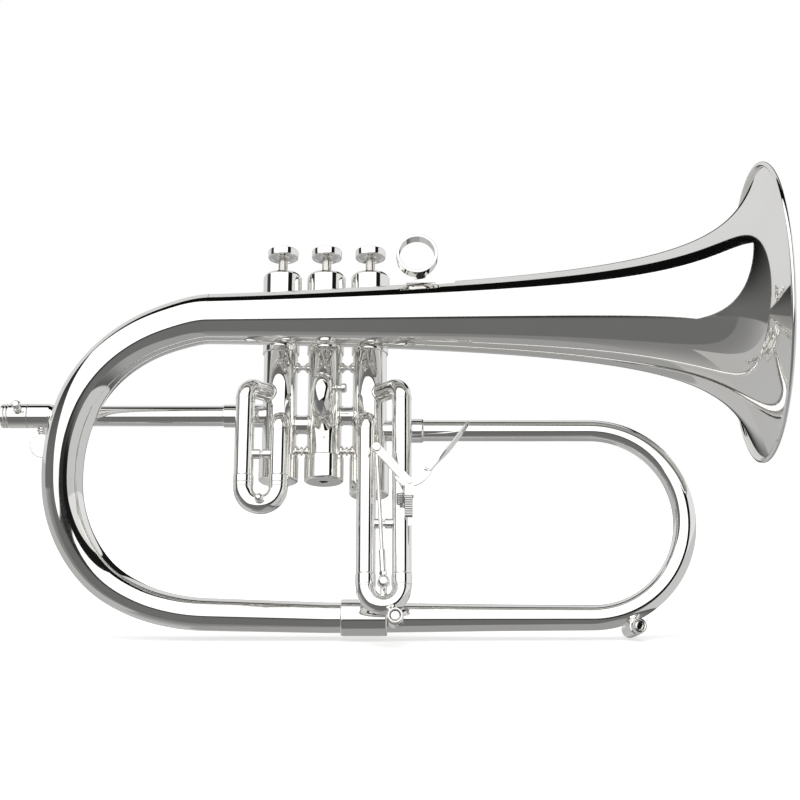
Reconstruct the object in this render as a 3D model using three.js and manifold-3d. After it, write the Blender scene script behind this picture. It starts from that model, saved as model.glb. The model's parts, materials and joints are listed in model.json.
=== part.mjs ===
// Flugelhorn in B flat with three piston valves, a third slide trigger and two push-button water keys.
// Millimetres, +Z up. The origin is on the second valve's axis, level with the mouthpipe: the grip.
// +X runs towards the bell's mouth, -Y is the player's left side, where the slides stand out.
// The bell, the back bow and the lower tube lie in one plane; the valve block leans back behind it.
import * as THREE from "three";
import { mergeVertices } from "three/addons/utils/BufferGeometryUtils.js";
import Module from "manifold-3d";

const wasm = await Module();
wasm.setup();

// ---- Driving dimensions ----
const GAP = 0.3; // between pieces that are soldered or screwed to each other
const WALL = 0.5; // sheet brass
const TUBE_SIDES = 10;
const BOW_SIDES = 12;
const TURNED_SIDES = 16;
const BELL_SIDES = 28;
const PORT_SIDES = 8;

// The plane of the bell and the bows, and the mouthpipe behind it.
const BELL_Y = -19;
const BELL_RIM = new THREE.Vector3(232.8, BELL_Y, 54.8);
const BELL_RISE = 0.011; // slope of the bell's axis
const BELL_LENGTH = 291.6;
const RIM_RADIUS = 79.5;
const FLARE_START = 13; // how far behind the rim the flare's hyperbola has its origin
const FLARE_POWER = 0.54;
const TAIL_TAPER = 0.005;
const BACK_BOW_X = -59.1;
const BACK_BOW_RADIUS = 79.15;
const LOWER_Z = -106.7; // axis of the lower tube
const BACK_BOW_Z = LOWER_Z + BACK_BOW_RADIUS;
const BACK_BOW_RADII = [13.1, 12.4, 11.9, 11.4, 10.9, 10.45, 9.7, 9.05, 8.65]; // evenly round the bow
// How far the bow lies outside its half circle, evenly round it. The first and the last value lie
// past its ends and only set its slope there.
const BACK_BOW_SWELL = [-1.45, 0, -1.45, -1.6, -1.2, -0.9, -0.9, -0.3, 1.4, 2.6, 2.85, 0.95, -1, -1.65, -0.1];
const PIPE_CROSSING_SWELL = -0.9; // where the mouthpipe passes the bow
const LOWER_BEND_X = 2; // the lower tube drops a little from the bow to here, then runs level
const LOWER_BEND_RADIUS = 8.05;
const LOWER_JOINT_X = 21.6;
const LOWER_JOINT_RADIUS = 8;
const FERRULE = { xs: [9.4, 33.9], outer: 9.65, inner: 8.4 };
const FRONT_BOW_X = 143;
const FRONT_BOW_RADII = [5.6, 6.65, 7, 7.95]; // at the valve, below the bow, at NARROW_X, at the ferrule
const NARROW_X = 94;
const FRONT_SLEEVE = { xs: [46.8, 53.3], outer: 6.4, inner: 5.9 };

const MOUTHPIPE_RADIUS = 5.55;
const MOUTHPIPE_BORE = 4.9;
const MOUTHPIPE_SLEEVE = { x: -54.6, radius: 6.2 };
const RECEIVER_RADIUS = 6.55;
const RECEIVER_X = [-174.7, -160.3];
const RECEIVER_TAIL_X = -118;
const FIXED_SLEEVE_X = [-160.0, -146.2];
const SPADE_X = -152.8;
const LOCK_X = -164.7;
const LOCK_ANGLE = 0.54; // of the lock screw above the horizontal, in radians

// The valve block, in its own frame: x along the row of valves, z up each valve, -y to the front.
const TILT = THREE.MathUtils.degToRad(18);
const PITCH = 24.3;
const VALVES = [-PITCH, 0, PITCH];
const CASING_RADIUS = 9.15;
const CASING_BORE = 8.35;
const COLLAR_RADIUS = 9.95;
const COLLAR_Z = 35.2;
const CAP_RADIUS = 10.55;
const BOTTOM_CAP_TOP = -23.1;
const BOTTOM_CAP_FLOORS = [-37.1, -37.1, -44.8];
const TOP_CAP_Z = [66, 81.6];
const PISTON_CLEARANCE = 0.1;
const STEM_RADIUS = 2.6;
const BUTTON_Z = 91.8;
const PORT_RADIUS = 4.4;
const TRAVEL = 9.8;

// Heights at which the tubes enter the valves.
const KNUCKLE_12_Z = -5;
const KNUCKLE_23_Z = 0;
const OUTLET_Z = -8.4;

// Slides: outer legs in front of the valves, inner legs on a U-shaped crook.
const SLIDE_Y = -18;
const LEG_RADIUS = 5.1;
const LEG_BORE = 4.62;
const SLIDE_CLEARANCE = 0.08;
const SLIDE_1 = { legs: [-41.3, -22.9], ends: -38.4, crook: -44.8, innerTop: -14.5, brace: -26.6 };
const SLIDE_3 = { legs: [23.1, 41.7], ends: -90.8, crook: -97.7, innerTop: -52, brace: -64.2 };
const INNER_LEG_WALL = 0.45;
const NEAR_PORT_Z = -6.8;
const FAR_PORT_Z = 11;
const SLIDE_2 = { ports: [11.4, -5.6], legRadius: 5.45, bore: 4.95, mouth: -21.7 };

// Third slide trigger.
const PIVOT = { x: 45.6, z: -44.6 };
const LEVER_EYE = { x: 28.6, z: -25.7 };
const ELBOW = { x: 56.1, z: -38.7 };
const BLADE_TIP = { x: 76.6, z: -12.2 };
const ROD_BALL = { x: 32.4, z: -96.3 };
const LEVER_Y = -27.4; // middle of the lever's thickness
const LEVER_THICKNESS = 2;
const ROD_Y = -24.6;

// Water keys: the middle of each face, the way it looks, and the side its screw stub is on. The first
// is on the third slide's crook and leans with the valve block. The second is on the front bow.
const WATER_KEYS = [
  { face: [38.4, -30, -114.4], direction: [0, -1, 0], stub: [-0.6, 0, 0.8] },
  { face: [167, -27, -109.6], direction: [0.3, -0.905, 0.3], stub: [-0.7, 0, 0.7] },
];
const KEY_LENGTH = 15;
const KEY_BORE = 2.75;

const FINGER_RING = { centre: [49.8, BELL_Y, 85.1], outer: 10.9, inner: 9.4, half: 3.7 };

const X = new THREE.Vector3(1, 0, 0);
const Y = new THREE.Vector3(0, 1, 0);
const Z = new THREE.Vector3(0, 0, 1);
const FRONT = Y.clone().negate();

const FINISHES = {
  silver: { color: 0xdcdcd8, roughness: 0.08, metalness: 1 },
  piston: { color: 0xb9b6ae, roughness: 0.18, metalness: 1 },
  spring: { color: 0x9b9b98, roughness: 0.3, metalness: 1 },
};

// ---- Solid helpers ----

// The geometry with shared vertices, without flattened triangles, and with its faces turned outwards.
function tidy(geometry) {
  const bare = new THREE.BufferGeometry();
  bare.setAttribute("position", geometry.getAttribute("position").clone());
  if (geometry.index) bare.setIndex(geometry.index.clone());
  const welded = mergeVertices(bare, 1e-4);
  const corners = welded.index.array;
  const kept = [];
  for (let i = 0; i < corners.length; i += 3) {
    const [a, b, c] = corners.slice(i, i + 3);
    if (a !== b && b !== c && c !== a) kept.push(a, b, c);
  }
  if (signedVolume(welded, kept) < 0) kept.reverse();
  welded.setIndex(kept);
  return welded;
}

function signedVolume(geometry, corners) {
  const position = geometry.getAttribute("position");
  const [a, b, c] = [new THREE.Vector3(), new THREE.Vector3(), new THREE.Vector3()];
  let volume = 0;
  for (let i = 0; i < corners.length; i += 3) {
    a.fromBufferAttribute(position, corners[i]);
    b.fromBufferAttribute(position, corners[i + 1]);
    c.fromBufferAttribute(position, corners[i + 2]);
    volume += a.dot(b.cross(c)) / 6;
  }
  return volume;
}

function toSolid(geometry) {
  const clean = tidy(geometry);
  const vertProperties = Float32Array.from(clean.getAttribute("position").array);
  const triVerts = Uint32Array.from(clean.index.array);
  return new wasm.Manifold(new wasm.Mesh({ numProp: 3, vertProperties, triVerts }));
}

function toGeometry(body) {
  const mesh = body.getMesh();
  const geometry = new THREE.BufferGeometry();
  geometry.setAttribute("position", new THREE.BufferAttribute(mesh.vertProperties, 3));
  geometry.setIndex(new THREE.BufferAttribute(mesh.triVerts, 1));
  return geometry;
}

function join(first, ...others) {
  return toGeometry(others.reduce((body, other) => body.add(toSolid(other)), toSolid(first)));
}

function cut(first, ...others) {
  return toGeometry(others.reduce((body, other) => body.subtract(toSolid(other)), toSolid(first)));
}

function addPart(parent, name, geometry, finish = "silver") {
  const part = new THREE.Mesh(tidy(geometry), new THREE.MeshStandardMaterial(FINISHES[finish]));
  part.name = name;
  parent.add(part);
  return part;
}

// A body turned about z. The profile lists [radius, height] once round the section:
// it starts and ends on the axis, or it closes on itself as a ring.
function turned(profile, sides = TURNED_SIDES) {
  const points = profile.map(([radius, height]) => new THREE.Vector2(radius, height));
  if (profile[0][0] > 0) points.push(points[0].clone());
  return tidy(new THREE.LatheGeometry(points, sides).rotateX(Math.PI / 2));
}

function disc(radius, bottom, top, sides = TURNED_SIDES) {
  const profile = [
    [0, bottom],
    [radius, bottom],
    [radius, top],
    [0, top],
  ];
  return turned(profile, sides);
}

function ring(outer, inner, bottom, top, sides = TURNED_SIDES) {
  const profile = [
    [inner, bottom],
    [outer, bottom],
    [outer, top],
    [inner, top],
  ];
  return turned(profile, sides);
}

// Turns a body made along z to lie along a direction, and moves its origin to a place.
function aim(geometry, direction, place) {
  const turn = new THREE.Quaternion().setFromUnitVectors(Z, direction.clone().normalize());
  const placed = geometry.clone().applyQuaternion(turn);
  return placed.translate(place.x, place.y, place.z);
}

function rodBetween(start, end, radius, sides = TUBE_SIDES) {
  const direction = end.clone().sub(start);
  return aim(disc(radius, 0, direction.length(), sides), direction, start);
}

function ball(centre, radius, sides = 10) {
  const sphere = new THREE.SphereGeometry(radius, sides, sides / 2);
  return tidy(sphere.translate(centre.x, centre.y, centre.z));
}

// A flat plate cut to an outline in x and z, from its back face at y forwards.
function plate(outline, back, thickness) {
  const flat = new THREE.ExtrudeGeometry(outline, {
    depth: thickness,
    bevelEnabled: false,
    curveSegments: 10,
  });
  return tidy(flat.rotateX(Math.PI / 2).translate(0, back, 0));
}

// A block with its two opposite corners given.
function block(low, high) {
  const size = high.clone().sub(low);
  const centre = low.clone().add(high).multiplyScalar(0.5);
  const box = new THREE.BoxGeometry(size.x, size.y, size.z);
  return box.translate(centre.x, centre.y, centre.z);
}

class Arc extends THREE.Curve {
  // From centre + radius * from, turning towards the direction "towards".
  constructor(centre, from, towards, radius, angle) {
    super();
    Object.assign(this, { centre, from, towards, radius, angle });
  }
  getPoint(t) {
    const turn = this.angle * t;
    const point = this.centre.clone().addScaledVector(this.from, this.radius * Math.cos(turn));
    return point.addScaledVector(this.towards, this.radius * Math.sin(turn));
  }
  getTangent(t) {
    const turn = this.angle * t;
    const tangent = this.towards.clone().multiplyScalar(Math.cos(turn));
    return tangent.addScaledVector(this.from, -Math.sin(turn)).normalize();
  }
}

function straight(start, end) {
  return new THREE.LineCurve3(start, end);
}

// A quarter or half bend that starts at a point with one heading and turns to another.
function bend(start, heading, towards, radius, angle) {
  const centre = start.clone().addScaledVector(towards, radius);
  return new Arc(centre, towards.clone().negate(), heading, radius, angle);
}

// Places along the stretches of a path, each with two directions across it. A stretch gives its
// curve, its number of steps, and its outer radius and bore as functions of the way along it.
function ringsAlong(stretches, side) {
  const normal = side.clone();
  const rings = [];
  let last = null;
  for (const stretch of stretches) {
    for (let i = 0; i <= stretch.steps; i++) {
      const way = i / stretch.steps;
      const tangent = stretch.curve.getTangent(way).normalize();
      if (last) normal.applyQuaternion(new THREE.Quaternion().setFromUnitVectors(last, tangent));
      last = tangent;
      const centre = stretch.curve.getPoint(way);
      const across = new THREE.Vector3().crossVectors(tangent, normal);
      const outer = stretch.outer(way);
      rings.push({ centre, normal: normal.clone(), across, outer, bore: stretch.bore(way) });
    }
  }
  return rings;
}

function ringCorners(ringAt, radius, sides) {
  const corners = [];
  for (let i = 0; i < sides; i++) {
    const angle = (2 * Math.PI * i) / sides;
    const corner = ringAt.centre.clone().addScaledVector(ringAt.normal, radius * Math.cos(angle));
    corners.push(corner.addScaledVector(ringAt.across, radius * Math.sin(angle)));
  }
  return corners;
}

// A tube along a path: its outer skin, its bore and its two end faces, as one closed body.
function tube(stretches, sides = TUBE_SIDES, side = Y) {
  const rings = ringsAlong(stretches, side);
  const loops = rings.map((at) => ringCorners(at, at.outer, sides));
  loops.push(...rings.map((at) => ringCorners(at, at.bore, sides)).reverse());
  const position = [];
  const index = [];
  for (const corner of loops.flat()) position.push(corner.x, corner.y, corner.z);
  for (let row = 0; row < loops.length; row++) {
    const next = (row + 1) % loops.length;
    for (let i = 0; i < sides; i++) {
      const j = (i + 1) % sides;
      index.push(row * sides + i, next * sides + i, next * sides + j);
      index.push(row * sides + i, next * sides + j, row * sides + j);
    }
  }
  const skin = new THREE.BufferGeometry();
  skin.setAttribute("position", new THREE.Float32BufferAttribute(position, 3));
  skin.setIndex(index);
  return tidy(skin);
}

// One stretch of a tube whose outer radius runs evenly from one value to another.
function stretch(curve, steps, outer, wall = WALL) {
  const [first, last] = [outer].flat().length === 2 ? outer : [outer, outer];
  const radius = (way) => THREE.MathUtils.lerp(first, last, way);
  return { curve, steps, outer: radius, bore: (way) => radius(way) - wall };
}

// One stretch of a tube with a plain outside and a plain bore.
function pipe(curve, steps, outer, bore) {
  return { curve, steps, outer: () => outer, bore: () => bore };
}

function at(x, y, z) {
  return new THREE.Vector3(x, y, z);
}

// ---- Bell and bows ----

// Outer radius of the bell at a distance back from its rim.
function bellRadius(back) {
  const flare = Math.pow(FLARE_START / (back + FLARE_START), FLARE_POWER);
  return RIM_RADIUS * flare - TAIL_TAPER * back;
}

function bellInnerRadius(back) {
  const step = 0.01;
  const slope = (bellRadius(back + step) - bellRadius(back)) / step;
  return bellRadius(back) - WALL * Math.hypot(1, slope);
}

function bell() {
  const stations = 11;
  const crowding = 2.3; // stations stand closer together towards the rim
  const first = 0.9; // where the flare runs into the rim bead
  const backs = [];
  for (let i = 0; i <= stations; i++) {
    backs.push(first + (BELL_LENGTH - first) * Math.pow(i / stations, crowding));
  }
  const outside = backs.map((back) => [bellRadius(back), -back]);
  const inside = backs.map((back) => [bellInnerRadius(back), -back]);
  const bead = [
    [RIM_RADIUS - 1.9, 0],
    [RIM_RADIUS - 0.7, 0],
    [RIM_RADIUS, -1],
    [RIM_RADIUS - 0.3, -2.2],
    [RIM_RADIUS - 1.4, -2.6],
    [RIM_RADIUS - 2.4, -1.8],
  ];
  const profile = [...inside.reverse(), ...bead, ...outside];
  return turned(profile, BELL_SIDES);
}

function bellGroup() {
  const group = new THREE.Group();
  group.position.copy(BELL_RIM);
  group.rotation.y = Math.PI / 2 - BELL_RISE;
  addPart(group, "bell", bell());
  return group;
}

// The middle line of the back bow: a half circle with a swell that runs smoothly through its values.
class Bow extends THREE.Curve {
  getPoint(way, target = new THREE.Vector3()) {
    const last = BACK_BOW_SWELL.length - 3;
    const first = Math.min(Math.floor(way * last), last - 1);
    const [a, b, c, d] = BACK_BOW_SWELL.slice(first, first + 4);
    const t = way * last - first;
    const swell = b + 0.5 * t * (c - a + t * (2 * a - 5 * b + 4 * c - d + t * (3 * (b - c) + d - a)));
    const reach = BACK_BOW_RADIUS + swell;
    const turn = Math.PI * (0.5 + way);
    return target.set(BACK_BOW_X + reach * Math.cos(turn), BELL_Y, BACK_BOW_Z + reach * Math.sin(turn));
  }
}

// The bow narrows from the bell's tail to the lower tube.
function backBow() {
  const last = BACK_BOW_RADII.length - 1;
  const radius = (way) => {
    const before = Math.min(Math.floor(way * last), last - 1);
    return THREE.MathUtils.lerp(BACK_BOW_RADII[before], BACK_BOW_RADII[before + 1], way * last - before);
  };
  const bow = new Bow();
  const level = at(LOWER_BEND_X, BELL_Y, LOWER_Z);
  const dropping = straight(bow.getPoint(1), level);
  const joining = straight(level, at(LOWER_JOINT_X - GAP, BELL_Y, LOWER_Z));
  const curved = { curve: bow, steps: 18, outer: radius, bore: (way) => radius(way) - WALL };
  const stretches = [
    curved,
    stretch(dropping, 1, [BACK_BOW_RADII[last], LOWER_BEND_RADIUS]),
    stretch(joining, 1, [LOWER_BEND_RADIUS, LOWER_JOINT_RADIUS]),
  ];
  return tube(stretches, BOW_SIDES);
}

// The third valve's outlet, in the instrument's frame.
const OUTLET = { y: OUTLET_Z * Math.sin(TILT), z: OUTLET_Z * Math.cos(TILT) };

// From the third valve forwards, round the front bow and back along the bottom. The bow leans,
// because the valve outlet is behind the plane of the bell. "extra" is added to every radius.
function frontBowStretches(extra) {
  const start = at(PITCH + CASING_RADIUS - 1, OUTLET.y, OUTLET.z);
  const top = at(FRONT_BOW_X, OUTLET.y, OUTLET.z);
  const bottom = at(FRONT_BOW_X, BELL_Y, LOWER_Z);
  const across = bottom.clone().sub(top);
  const radius = across.length() / 2;
  const bow = bend(top, X, across.normalize(), radius, Math.PI);
  const middle = at(NARROW_X, BELL_Y, LOWER_Z);
  const end = at(LOWER_JOINT_X, BELL_Y, LOWER_Z);
  const [atValve, afterBow, narrowest, atJoint] = FRONT_BOW_RADII.map((radius) => radius + extra);
  return [
    stretch(straight(start, top), 1, [atValve, atValve]),
    stretch(bow, 16, [atValve, afterBow]),
    stretch(straight(bottom, middle), 1, [afterBow, narrowest]),
    stretch(straight(middle, end), 2, [narrowest, atJoint]),
  ];
}

function frontBow() {
  const body = tube(frontBowStretches(0), BOW_SIDES);
  const valveClearance = inBlock(disc(CASING_RADIUS + GAP, -40, 40, 32).translate(PITCH, 0, 0));
  return cut(body, valveClearance);
}

// A collar over a joint in a tube along x, with eased edges.
function collar({ xs, outer, inner }, y, z) {
  const length = xs[1] - xs[0];
  const ease = 0.5;
  const profile = [
    [inner, 0],
    [outer - ease, 0],
    [outer, ease],
    [outer, length - ease],
    [outer - ease, length],
    [inner, length],
  ];
  return aim(turned(profile), X, at(xs[0], y, z));
}

function bowParts(root) {
  addPart(root, "back_bow", backBow());
  addPart(root, "front_bow", frontBow());
  addPart(root, "lower_ferrule", collar(FERRULE, BELL_Y, LOWER_Z));
  addPart(root, "front_bow_sleeve", collar(FRONT_SLEEVE, OUTLET.y, OUTLET.z));
}

// ---- Mouthpipe ----

function mouthpipe() {
  const end = -PITCH - CASING_RADIUS + 2;
  const { x: sleeve, radius } = MOUTHPIPE_SLEEVE;
  const outside = straight(at(FIXED_SLEEVE_X[0] + 0.4, 0, 0), at(sleeve, 0, 0));
  const inside = straight(at(sleeve, 0, 0), at(end, 0, 0));
  const body = tube(
    [pipe(outside, 1, MOUTHPIPE_RADIUS, MOUTHPIPE_BORE), pipe(inside, 1, radius, MOUTHPIPE_BORE)],
    TURNED_SIDES,
  );
  const valveClearance = inBlock(disc(CASING_RADIUS + GAP, -30, 30, 32).translate(-PITCH, 0, 0));
  return cut(body, valveClearance);
}

// The fixed sleeve on the mouthpipe's end, with the nut of its clamping screw below.
function receiverSleeve() {
  const length = FIXED_SLEEVE_X[1] - FIXED_SLEEVE_X[0];
  const inner = MOUTHPIPE_RADIUS + GAP;
  const profile = [
    [inner, 0],
    [RECEIVER_RADIUS - 0.15, 0],
    [RECEIVER_RADIUS, 0.3],
    [RECEIVER_RADIUS, length - 1.6],
    [RECEIVER_RADIUS - 0.25, length - 0.6],
    [inner, length],
  ];
  const sleeve = aim(turned(profile), X, at(FIXED_SLEEVE_X[0], 0, 0));
  const nut = aim(ring(2.45, 1.5, 6.1, 8.4, 12), Z.clone().negate(), at(SPADE_X, 0, 0));
  const threadHole = aim(disc(1.5, 4, 7, 12), Z.clone().negate(), at(SPADE_X, 0, 0));
  return cut(join(sleeve, nut), threadHole);
}

// A thumb screw with a flat spade-shaped head, hanging below the fixed sleeve.
function spadeScrew() {
  const head = new THREE.Shape();
  head.moveTo(SPADE_X - 1.1, -9.3);
  head.quadraticCurveTo(SPADE_X - 1.5, -10.6, SPADE_X - 4.6, -12.2);
  head.absarc(SPADE_X, -15.9, 6.6, Math.PI * 0.8, Math.PI * 2.2, false);
  head.quadraticCurveTo(SPADE_X + 1.5, -10.6, SPADE_X + 1.1, -9.3);
  const blade = plate(head, 0.55, 1.1);
  const down = Z.clone().negate();
  const shaft = aim(disc(1.4, 6.0, 9.6, 12), down, at(SPADE_X, 0, 0));
  const shoulder = aim(disc(2.1, 8.7, 9.7, 14), down, at(SPADE_X, 0, 0));
  return join(blade, shaft, shoulder);
}

// The sliding receiver: two turned grooves, a lock screw boss, and a long inner tube in the mouthpipe.
const LOCK_DIRECTION = at(0, -Math.cos(LOCK_ANGLE), Math.sin(LOCK_ANGLE));

function mouthpieceReceiver() {
  const [open, back] = RECEIVER_X;
  const inner = MOUTHPIPE_BORE - SLIDE_CLEARANCE;
  const bore = [4.9, 4.4, 4.3]; // at the mouth, at the shoulder and at the tail
  const length = back - open;
  const tail = RECEIVER_TAIL_X - open;
  const profile = [
    [bore[1], length],
    [bore[0], 0],
    [RECEIVER_RADIUS - 0.5, 0],
    [RECEIVER_RADIUS, 0.5],
    [RECEIVER_RADIUS, 1.3],
    [RECEIVER_RADIUS - 0.4, 1.6],
    [RECEIVER_RADIUS, 1.9],
    [RECEIVER_RADIUS, length],
    [inner, length],
    [inner, tail],
    [bore[2], tail],
  ];
  const body = aim(turned(profile), X, at(open, 0, 0));
  const boss = aim(ring(2.3, 1.45, 5.9, 8.3, 12), LOCK_DIRECTION, at(LOCK_X, 0, 0));
  const hole = aim(disc(1.45, 3, 8, 12), LOCK_DIRECTION, at(LOCK_X, 0, 0));
  return cut(join(body, boss), hole);
}

function lockScrew() {
  const profile = [
    [0, 5.6],
    [1.35, 5.6],
    [1.35, 8.6],
    [2.2, 8.6],
    [2.2, 9.6],
    [1.4, 9.9],
    [1.5, 10.4],
    [2.4, 11],
    [2.5, 13],
    [1.9, 13.8],
    [0, 14],
  ];
  return aim(turned(profile, 12), LOCK_DIRECTION, at(LOCK_X, 0, 0));
}

// Joins the mouthpipe to the back bow where they cross.
function mouthpipeFlange() {
  const reach = BACK_BOW_RADIUS + PIPE_CROSSING_SWELL;
  const slope = Math.asin(-BACK_BOW_Z / reach);
  const crossing = BACK_BOW_X - reach * Math.cos(slope);
  const bowHeading = at(Math.sin(slope), 0, Math.cos(slope));
  const bowRadius = 11.4; // of the back bow where the mouthpipe passes it
  const pad = block(at(crossing - 4.5, -10, -3), at(crossing + 4.5, 0, 3));
  const pipeRoom = aim(disc(MOUTHPIPE_RADIUS + GAP, -20, 20), X, at(crossing, 0, 0));
  const bowRoom = aim(disc(bowRadius + GAP, -20, 20, 24), bowHeading, at(crossing, BELL_Y, 0));
  return cut(pad, pipeRoom, bowRoom);
}

function mouthpipeParts(root) {
  addPart(root, "mouthpipe", mouthpipe());
  addPart(root, "receiver_sleeve", receiverSleeve());
  addPart(root, "spade_screw", spadeScrew());
  addPart(root, "mouthpiece_receiver", mouthpieceReceiver());
  addPart(root, "mouthpiece_lock_screw", lockScrew());
  addPart(root, "mouthpipe_flange", mouthpipeFlange());
}

// ---- Valve block, in its leaning frame ----

function inBlock(geometry) {
  return geometry.rotateX(-TILT);
}

// The way each slide leg's elbow heads into its valve, left leg first.
const SLIDE_1_HEADINGS = [at(17.1, 18, 0).normalize(), Y.clone()];
const SLIDE_3_HEADINGS = [Y.clone(), at(-17.5, 18, 0).normalize()];

// Where each tube enters each valve: its height, and the direction in which it leaves the valve.
const PORTS = [
  [
    [0, X.clone().negate()],
    [KNUCKLE_12_Z, X],
    [FAR_PORT_Z, SLIDE_1_HEADINGS[0].clone().negate()],
    [NEAR_PORT_Z, FRONT],
  ],
  [
    [KNUCKLE_12_Z, X.clone().negate()],
    [KNUCKLE_23_Z, X],
    [SLIDE_2.ports[0], FRONT],
    [SLIDE_2.ports[1], FRONT],
  ],
  [
    [KNUCKLE_23_Z, X.clone().negate()],
    [OUTLET_Z, X],
    [NEAR_PORT_Z, FRONT],
    [FAR_PORT_Z, SLIDE_3_HEADINGS[1].clone().negate()],
  ],
];

function casing(valve) {
  const floor = BOTTOM_CAP_FLOORS[valve] + 2.2; // clear of the bottom cap's floor
  const top = TOP_CAP_Z[1] - 2.4; // clear of the top cap's roof
  const profile = [
    [CASING_BORE, floor],
    [CASING_RADIUS, floor],
    [CASING_RADIUS, COLLAR_Z],
    [COLLAR_RADIUS, COLLAR_Z],
    [COLLAR_RADIUS, TOP_CAP_Z[0] - GAP],
    [CASING_RADIUS, TOP_CAP_Z[0] - GAP],
    [CASING_RADIUS, top],
    [CASING_BORE, top],
  ];
  const drills = PORTS[valve].map(([z, direction]) =>
    aim(disc(PORT_RADIUS, 5, 12, PORT_SIDES), direction, at(0, 0, z)),
  );
  return cut(turned(profile), ...drills);
}

function bottomCap(floor) {
  const inner = CASING_RADIUS + GAP;
  const vent = 2.5;
  const roof = floor + 1.6;
  const profile = [
    [vent, floor],
    [CAP_RADIUS, floor],
    [CAP_RADIUS, BOTTOM_CAP_TOP],
    [inner, BOTTOM_CAP_TOP],
    [inner, roof],
    [vent, roof],
  ];
  return turned(profile);
}

function topCap() {
  const [bottom, top] = TOP_CAP_Z;
  const inner = CASING_RADIUS + GAP;
  const hole = STEM_RADIUS + 0.4;
  const profile = [
    [inner, bottom],
    [CAP_RADIUS, bottom],
    [CAP_RADIUS, top - 3],
    [CAP_RADIUS - 2.4, top],
    [hole, top],
    [hole, top - 1.8],
    [inner, top - 1.8],
  ];
  return turned(profile);
}

// The piston with its ports, the slotted spring barrel above it, and the stem.
const PISTON = { bottom: -22, top: 28, barrelTop: 76, slot: [31.4, 46.5] };
const GUIDE_Z = [32, 34];
const VALVE_SPRING = { radius: 4.4, wire: 1, bottom: 34.4, top: 73.6, turns: 5 };

function piston(valve) {
  const radius = CASING_BORE - PISTON_CLEARANCE;
  const barrel = 6.6;
  const hollow = 5.9;
  const stemTop = BUTTON_Z - GAP;
  const profile = [
    [0, PISTON.bottom + 5],
    [radius - 1, PISTON.bottom + 4],
    [radius - 1, PISTON.bottom],
    [radius, PISTON.bottom],
    [radius, PISTON.top],
    [barrel, PISTON.top + 1],
    [barrel, PISTON.barrelTop],
    [STEM_RADIUS, PISTON.barrelTop],
    [STEM_RADIUS, stemTop],
    [0, stemTop],
  ];
  const hollowRoom = disc(hollow, PISTON.top + 1, PISTON.barrelTop - 2, 16);
  const slot = block(at(-2.2, -9, PISTON.slot[0]), at(2.2, 9, PISTON.slot[1]));
  return cut(turned(profile), hollowRoom, slot, ...passages(valve));
}

// One passage joins the valve's inlet and outlet at rest. Two more, higher up the piston by the
// length of its stroke, lead to the slide and back when the valve is pressed.
function passages(valve) {
  const wall = 12;
  const [inlet, outlet, slideA, slideB] = PORTS[valve];
  const spot = ([z, direction], lift) => direction.clone().multiplyScalar(wall).add(at(0, 0, z + lift));
  const bore = PORT_RADIUS - 0.6;
  const drill = (from, to, lift) => rodBetween(spot(from, lift), spot(to, lift), bore, PORT_SIDES);
  const rest = drill(inlet, outlet, 0);
  const toSlide = drill(inlet, slideA, TRAVEL);
  const fromSlide = drill(slideB, outlet, TRAVEL);
  return [rest, toSlide, fromSlide];
}

// The guide lies across the spring barrel. Its ends pass through the slots and stop at the casing.
function valveGuide() {
  const [bottom, top] = GUIDE_Z;
  const ends = block(at(-1.8, -7.8, bottom), at(1.8, 7.8, top));
  return join(disc(5.6, bottom, top), ends);
}

// A round wire wound as a helix about z.
class Helix extends THREE.Curve {
  constructor(radius, bottom, top, turns) {
    super();
    Object.assign(this, { radius, bottom, top, turns });
  }
  getPoint(t) {
    const angle = 2 * Math.PI * this.turns * t;
    const height = THREE.MathUtils.lerp(this.bottom, this.top, t);
    return at(this.radius * Math.cos(angle), this.radius * Math.sin(angle), height);
  }
}

function spring({ radius, wire, bottom, top, turns }) {
  const half = wire / 2;
  const section = new THREE.Shape([
    new THREE.Vector2(half, 0),
    new THREE.Vector2(0, half),
    new THREE.Vector2(-half, 0),
    new THREE.Vector2(0, -half),
  ]);
  return new THREE.ExtrudeGeometry(section, {
    extrudePath: new Helix(radius, bottom + wire / 2, top - wire / 2, turns),
    steps: turns * 6,
    bevelEnabled: false,
  });
}

// The finger button: a shallow dish with a hollow under its rim and a seat for its inlay on top.
function button() {
  const radius = 8.35;
  const top = BUTTON_Z + 4.5;
  const profile = [
    [0, BUTTON_Z],
    [3.1, BUTTON_Z],
    [3.4, BUTTON_Z + 1],
    [6.6, BUTTON_Z + 1],
    [7.2, BUTTON_Z + 0.3],
    [radius, BUTTON_Z + 1.1],
    [radius, top - 1],
    [radius - 0.9, top],
    [6.5, top - 0.5],
    [0, top - 0.5],
  ];
  return turned(profile);
}

// A turned brace between two facing surfaces: wide feet and a narrow waist with a bead.
function spool(start, end, foot, waist) {
  const direction = end.clone().sub(start);
  const length = direction.length();
  const profile = [
    [0, 0],
    [foot, 0],
    [foot, length * 0.12],
    [waist, length * 0.4],
    [waist, length * 0.6],
    [foot, length * 0.88],
    [foot, length],
    [0, length],
  ];
  return aim(turned(profile, 10), direction, start);
}

function knuckle(valve, z) {
  const from = at(VALVES[valve], 0, z);
  const to = at(VALVES[valve + 1], 0, z);
  const body = tube([pipe(straight(from, to), 1, 5, PORT_RADIUS)], 12);
  return cut(body, casingRoom(valve), casingRoom(valve + 1));
}

function casingRoom(valve, radius = CASING_RADIUS) {
  return disc(radius + GAP, -60, 90, 32).translate(VALVES[valve], 0, 0);
}

function casingBrace(valve, z, foot, waist) {
  const from = at(VALVES[valve] + CASING_RADIUS - 0.5, 0, z);
  const to = at(VALVES[valve + 1] - CASING_RADIUS + 0.5, 0, z);
  return cut(spool(from, to, foot, waist), casingRoom(valve), casingRoom(valve + 1));
}

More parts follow.
